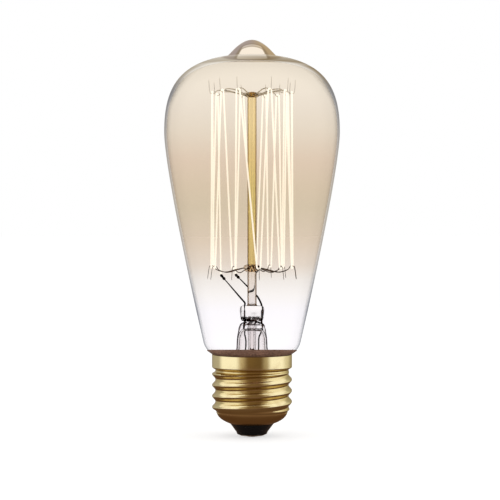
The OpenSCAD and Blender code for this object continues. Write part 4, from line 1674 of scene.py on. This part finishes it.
    def plate(self) -> None:
        """The centre contact with its turned-down edge."""
        room = Span.of("contact_plate")
        low, high, reach = room.low.z, room.high.z, room.radius
        edge = Bezier((reach - 0.25, low), (reach - 0.1, low), (reach, low + 0.08), (reach, low + 0.2))
        outline = [(self.lead_hole_r, low), edge.start, *edge.points(5), (reach, high),
                   (self.lead_hole_r, high)]
        bm = lathe(outline, self.steps // 3, closed=True)
        self.piece("centre_contact", bm, Shade.CONTACT, "contact_plate")

    def centre_solder(self) -> None:
        """The worn blob of solder on the contact."""
        room = Span.of("contact_solder")
        reach, high = room.radius - 0.12, room.high.z
        worn = Bezier((1.4, 0.0), (reach * 0.85, 0.02), (reach, high * 0.5), (reach, high))

        def spread(place: Vector) -> Vector:
            """Makes the edge of the blob uneven and leaves its worn flat.

            Args:
                place: A place on the round blob.

            Returns:
                The place on the uneven one.
            """
            share = eased((math.hypot(place.x, place.y) - 1.3) / 0.8)
            offset = share * rough(Vector((place.x, place.y, 0)), 1.4, 0.3, 4.0)
            return place + outwards(place) * min(offset, 0.1)

        bm = lathe([(0.0, 0.0), worn.start, *worn.points(10), (0.0, high)], 56)
        self.piece("centre_solder", reshaped(bm, spread), Shade.SOLDER, "contact_solder")

    def rim_solder(self) -> None:
        """The drop of solder that joins the side lead to the rim."""
        room = Span.of("rim_solder")
        size = Vector((0.42, 1.9, (room.high - room.low).z))
        bm = bmesh.new()
        bmesh.ops.create_uvsphere(bm, u_segments=24, v_segments=14, radius=0.5)
        bmesh.ops.scale(bm, vec=size * MM, verts=bm.verts)
        bmesh.ops.rotate(bm, matrix=Matrix.Rotation(math.radians(room.azimuth), 3, "Z"), verts=bm.verts)
        bmesh.ops.translate(bm, vec=room.mid * MM, verts=bm.verts)
        self.piece("rim_solder_drop", bm, Shade.SOLDER, "rim_solder")

    def cement(self) -> None:
        """The baked cement round the neck, squeezed up under the taper of the glass."""
        low = Span.of("cement_ring").low.z
        gap, bite = self.cement_gap, self.cement_bite
        foot_z = self.rim_z + gap
        out_low, out_top = self.root_r - self.brass_wall - 0.1, self.collar_r - self.brass_wall - gap
        taper = NECK.taper(bite)
        glass = taper.points(40)
        under = [point for point in glass if point[1] < self.lip_z]
        outline = [(NECK.low_r - bite, low), (out_low, low), (out_low, self.thread_top + 0.2),
                   (out_top, self.collar_z + 0.4), (out_top, foot_z), (out_top + 0.3, foot_z),
                   (under[-1][0] + 0.25, under[-1][1] - 0.2), *reversed(under), taper.start,
                   (NECK.in_cap_r - bite, NECK.step_z[1]), (NECK.low_r - bite, NECK.step_z[0])]

        def reach(height: float) -> float:
            """Radius of the glass's underside at a height.

            Args:
                height: The height.

            Returns:
                The radius there, or the largest one above the taper.
            """
            for (near_r, near_z), (far_r, far_z) in zip(glass, glass[1:]):
                if far_z >= height:
                    return near_r + (far_r - near_r) * (height - near_z) / (far_z - near_z)
            return glass[-1][0]

        def squeezed(place: Vector) -> Vector:
            """Draws the lip up at the front, down at the back, and leaves it a little uneven.

            Args:
                place: A place on the level lip.

            Returns:
                The place on the slanted one.
            """
            rise = max(place.z - foot_z - gap, 0)
            front = 0.5 - 0.5 * place.y / max(math.hypot(place.x, place.y), 1e-6)
            top = self.lip_ends[0] + front * (self.lip_ends[1] - self.lip_ends[0])
            height = place.z + (top - self.lip_z) * rise / (self.lip_z - foot_z - gap)
            slide = reach(height) - reach(place.z) if rise else 0
            flat = place + outwards(place) * (slide - eased(rise / 0.4) * abs(rough(place, 0.8, 0.06, 1.0)))
            return Vector((flat.x, flat.y, height))

        bm = reshaped(lathe(outline, 128, closed=True), squeezed)
        # Marks the faces that look down, which get painted shade
        self.piece("baked_cement_ring", marked(bm, DOWN_SHADE, looks_down), Shade.CEMENT, "cement_ring")


# Studio


@dataclass
class Studio:
    """Pale floor, soft light, dark cards for the metal to mirror, and the camera.

    Sizes are metres. Directions are degrees, counted from the camera to the right.
    """

    image_width: float = 0.16515
    distance: float = 0.520
    eye_x: float = -0.00066
    eye_z: float = 0.067
    middle_z: float = 0.0615
    sensor: float = 36.0
    floor_size: float = 60.0
    ambient: float = 0.55
    floor_glow: float = 0.58
    floor_colour: Colour = (0.80, 0.80, 0.80)
    lamp_distance: float = 0.75
    lamp_size: Ends = (0.95, 0.62)
    lamp_radiance: float = 1.25
    lamp_azimuths: Ends = (-64.0, 80.0)
    tent_steps: int = 96
    wall_r: float = 1.7
    wall_z: Ends = (-0.45, 0.98)
    wall_tones: Stops = (
        (-150.0, (0.45, 0.45, 0.45)), (-112.0, (0.45, 0.43, 0.40)), (-92.0, WHITE), (-48.0, WHITE),
        (-30.0, (0.49, 0.41, 0.29)), (-10.0, (0.16, 0.10, 0.042)), (24.0, (0.13, 0.08, 0.035)),
        (42.0, (0.40, 0.34, 0.24)), (58.0, WHITE), (95.0, WHITE), (118.0, (0.72, 0.70, 0.62)),
        (150.0, (0.40, 0.38, 0.32)))
    floor_tone: Colour = (0.20, 0.125, 0.09)
    roof_tones: Stops = (
        (-150.0, (0.40, 0.36, 0.28)), (-130.0, WHITE), (-62.0, WHITE), (-40.0, (0.36, 0.27, 0.17)),
        (-12.0, (0.16, 0.10, 0.05)), (28.0, (0.15, 0.09, 0.045)), (52.0, (0.45, 0.36, 0.24)),
        (70.0, WHITE), (128.0, WHITE), (150.0, (0.40, 0.36, 0.28)))

    def build(self) -> None:
        """Sets up everything round the lamp."""
        self.camera()
        self.world()
        self.floor()
        for name, azimuth in zip(("left_softbox", "right_softbox"), self.lamp_azimuths):
            self.lamp(name, azimuth)
        self.cards()
        bpy.context.scene.view_settings.view_transform = "Standard"

    def camera(self) -> None:
        """A level camera at the photograph's distance and framing."""
        data = bpy.data.cameras.new("camera")
        data.sensor_width = self.sensor
        data.lens = self.sensor * self.distance / self.image_width
        data.shift_y = (self.middle_z - self.eye_z) / self.image_width
        view = bpy.data.objects.new("camera", data)
        view.location = (self.eye_x, -self.distance, self.eye_z)
        view.rotation_euler = (math.pi / 2, 0, 0)
        bpy.context.scene.collection.objects.link(view)
        bpy.context.scene.camera = view

    def world(self) -> None:
        """White behind the lamp and in its glass and metal, softer as light."""
        world = bpy.data.worlds.new("studio")
        world.use_nodes = True
        world.node_tree.nodes.clear()
        net = Net(world.node_tree)
        path = net.add("ShaderNodeLightPath").outputs
        seen = net.math("MAXIMUM", path["Is Camera Ray"], path["Is Glossy Ray"])
        seen = net.math("MAXIMUM", seen, path["Is Transmission Ray"])
        light = net.add("ShaderNodeBackground", {"Color": WHITE, "Strength": self.ambient})
        white = net.add("ShaderNodeBackground", {"Color": WHITE, "Strength": 1.0})
        mixed = net.add("ShaderNodeMixShader", {0: seen, 1: light.outputs[0], 2: white.outputs[0]})
        net.add("ShaderNodeOutputWorld", {"Surface": mixed.outputs[0]})
        bpy.context.scene.world = world

    def floor(self) -> None:
        """A pale floor that keeps the lamp's shadow and isn't mirrored in the metal."""
        bm = bmesh.new()
        bmesh.ops.create_grid(bm, x_segments=1, y_segments=1, size=self.floor_size / 2)

        def paint(net: Net) -> Socket:
            """Matt white with a glow that lifts it to the background's white."""
            return net.add("ShaderNodeBsdfPrincipled", {
                "Base Color": self.floor_colour, "Roughness": 1.0, "Specular IOR Level": 0.0,
                "Emission Color": WHITE, "Emission Strength": self.floor_glow}).outputs[0]

        floor = placed("studio_floor", bm, new_material("studio_floor", paint))
        floor.visible_glossy = False

    def lamp(self, name: str, azimuth: float) -> None:
        """A soft box that faces the lamp.

        Args:
            name: Its name.
            azimuth: Its direction from the lamp.
        """
        data = bpy.data.lights.new(name, "AREA")
        data.shape = "RECTANGLE"
        data.size, data.size_y = self.lamp_size
        data.energy = self.lamp_radiance * 4 * data.size * data.size_y
        turn = math.radians(azimuth)
        place = Vector((math.sin(turn), -math.cos(turn), 0)) * self.lamp_distance
        place.z = self.middle_z
        box = bpy.data.objects.new(name, data)
        box.location = place
        box.rotation_euler = (Vector((0, 0, self.middle_z)) - place).to_track_quat("-Z", "Y").to_euler()
        box.visible_glossy = False
        box.visible_transmission = False
        bpy.context.scene.collection.objects.link(box)

    def cards(self) -> None:
        """The tent that reflections show: a wall of white and dark cards, a dark floor and roof."""
        low, high = self.wall_z
        wall = bmesh.new()
        verts = [wall.verts.new((self.wall_r, 0, z)) for z in (low, high)]
        edge = wall.edges.new(verts)
        bmesh.ops.spin(wall, geom=[*verts, edge], cent=(0, 0, 0), axis=(0, 0, 1), angle=math.tau,
                       steps=self.tent_steps, use_merge=True)
        self.card("wall_cards", wall, self.wall_tones)
        even = ((-180.0, self.floor_tone), (180.0, self.floor_tone))
        for name, height, tones in (("floor_card", low, even), ("roof_card", high, self.roof_tones)):
            disc = bmesh.new()
            bmesh.ops.create_circle(disc, cap_ends=True, segments=self.tent_steps, radius=self.wall_r,
                                    matrix=Matrix.Translation((0, 0, height)))
            self.card(name, disc, tones)

    @staticmethod
    def card(name: str, bm: Form, tones: Stops) -> None:
        """Makes one card that only reflections show.

        Args:
            name: Its name.
            bm: Its mesh, which is freed.
            tones: Direction and tone of each stop round the lamp.
        """

        def paint(net: Net) -> Socket:
            """A glow whose tone changes round the lamp.

            Args:
                net: Net of the card's material.

            Returns:
                The shader's socket.
            """
            x, y, _ = net.parts()
            turn = net.math("ARCTAN2", x, net.times(y, -1.0))
            stops = [(azimuth / 360 + 0.5, tone) for azimuth, tone in tones]
            colour = net.ramp(net.share(turn, -math.pi, math.pi), stops)
            return net.add("ShaderNodeEmission", {"Color": colour, "Strength": 1.0}).outputs[0]

        card = placed(name, bm, new_material(name, paint))
        card.visible_camera = False
        card.visible_diffuse = False
        card.visible_transmission = False
        card.visible_volume_scatter = False
        card.visible_shadow = False


def main() -> None:
    """Builds the studio and the lamp."""
    logging.basicConfig(level=logging.INFO, format="%(name)s: %(message)s")
    Studio().build()
    paints = Paints()
    for assembly in (Envelope(paints), Stem(paints), Cage(paints), Leads(paints), Cap(paints)):
        LOG.info("building %s", type(assembly).__name__)
        assembly.build()


if __name__ == "__main__":
    main()
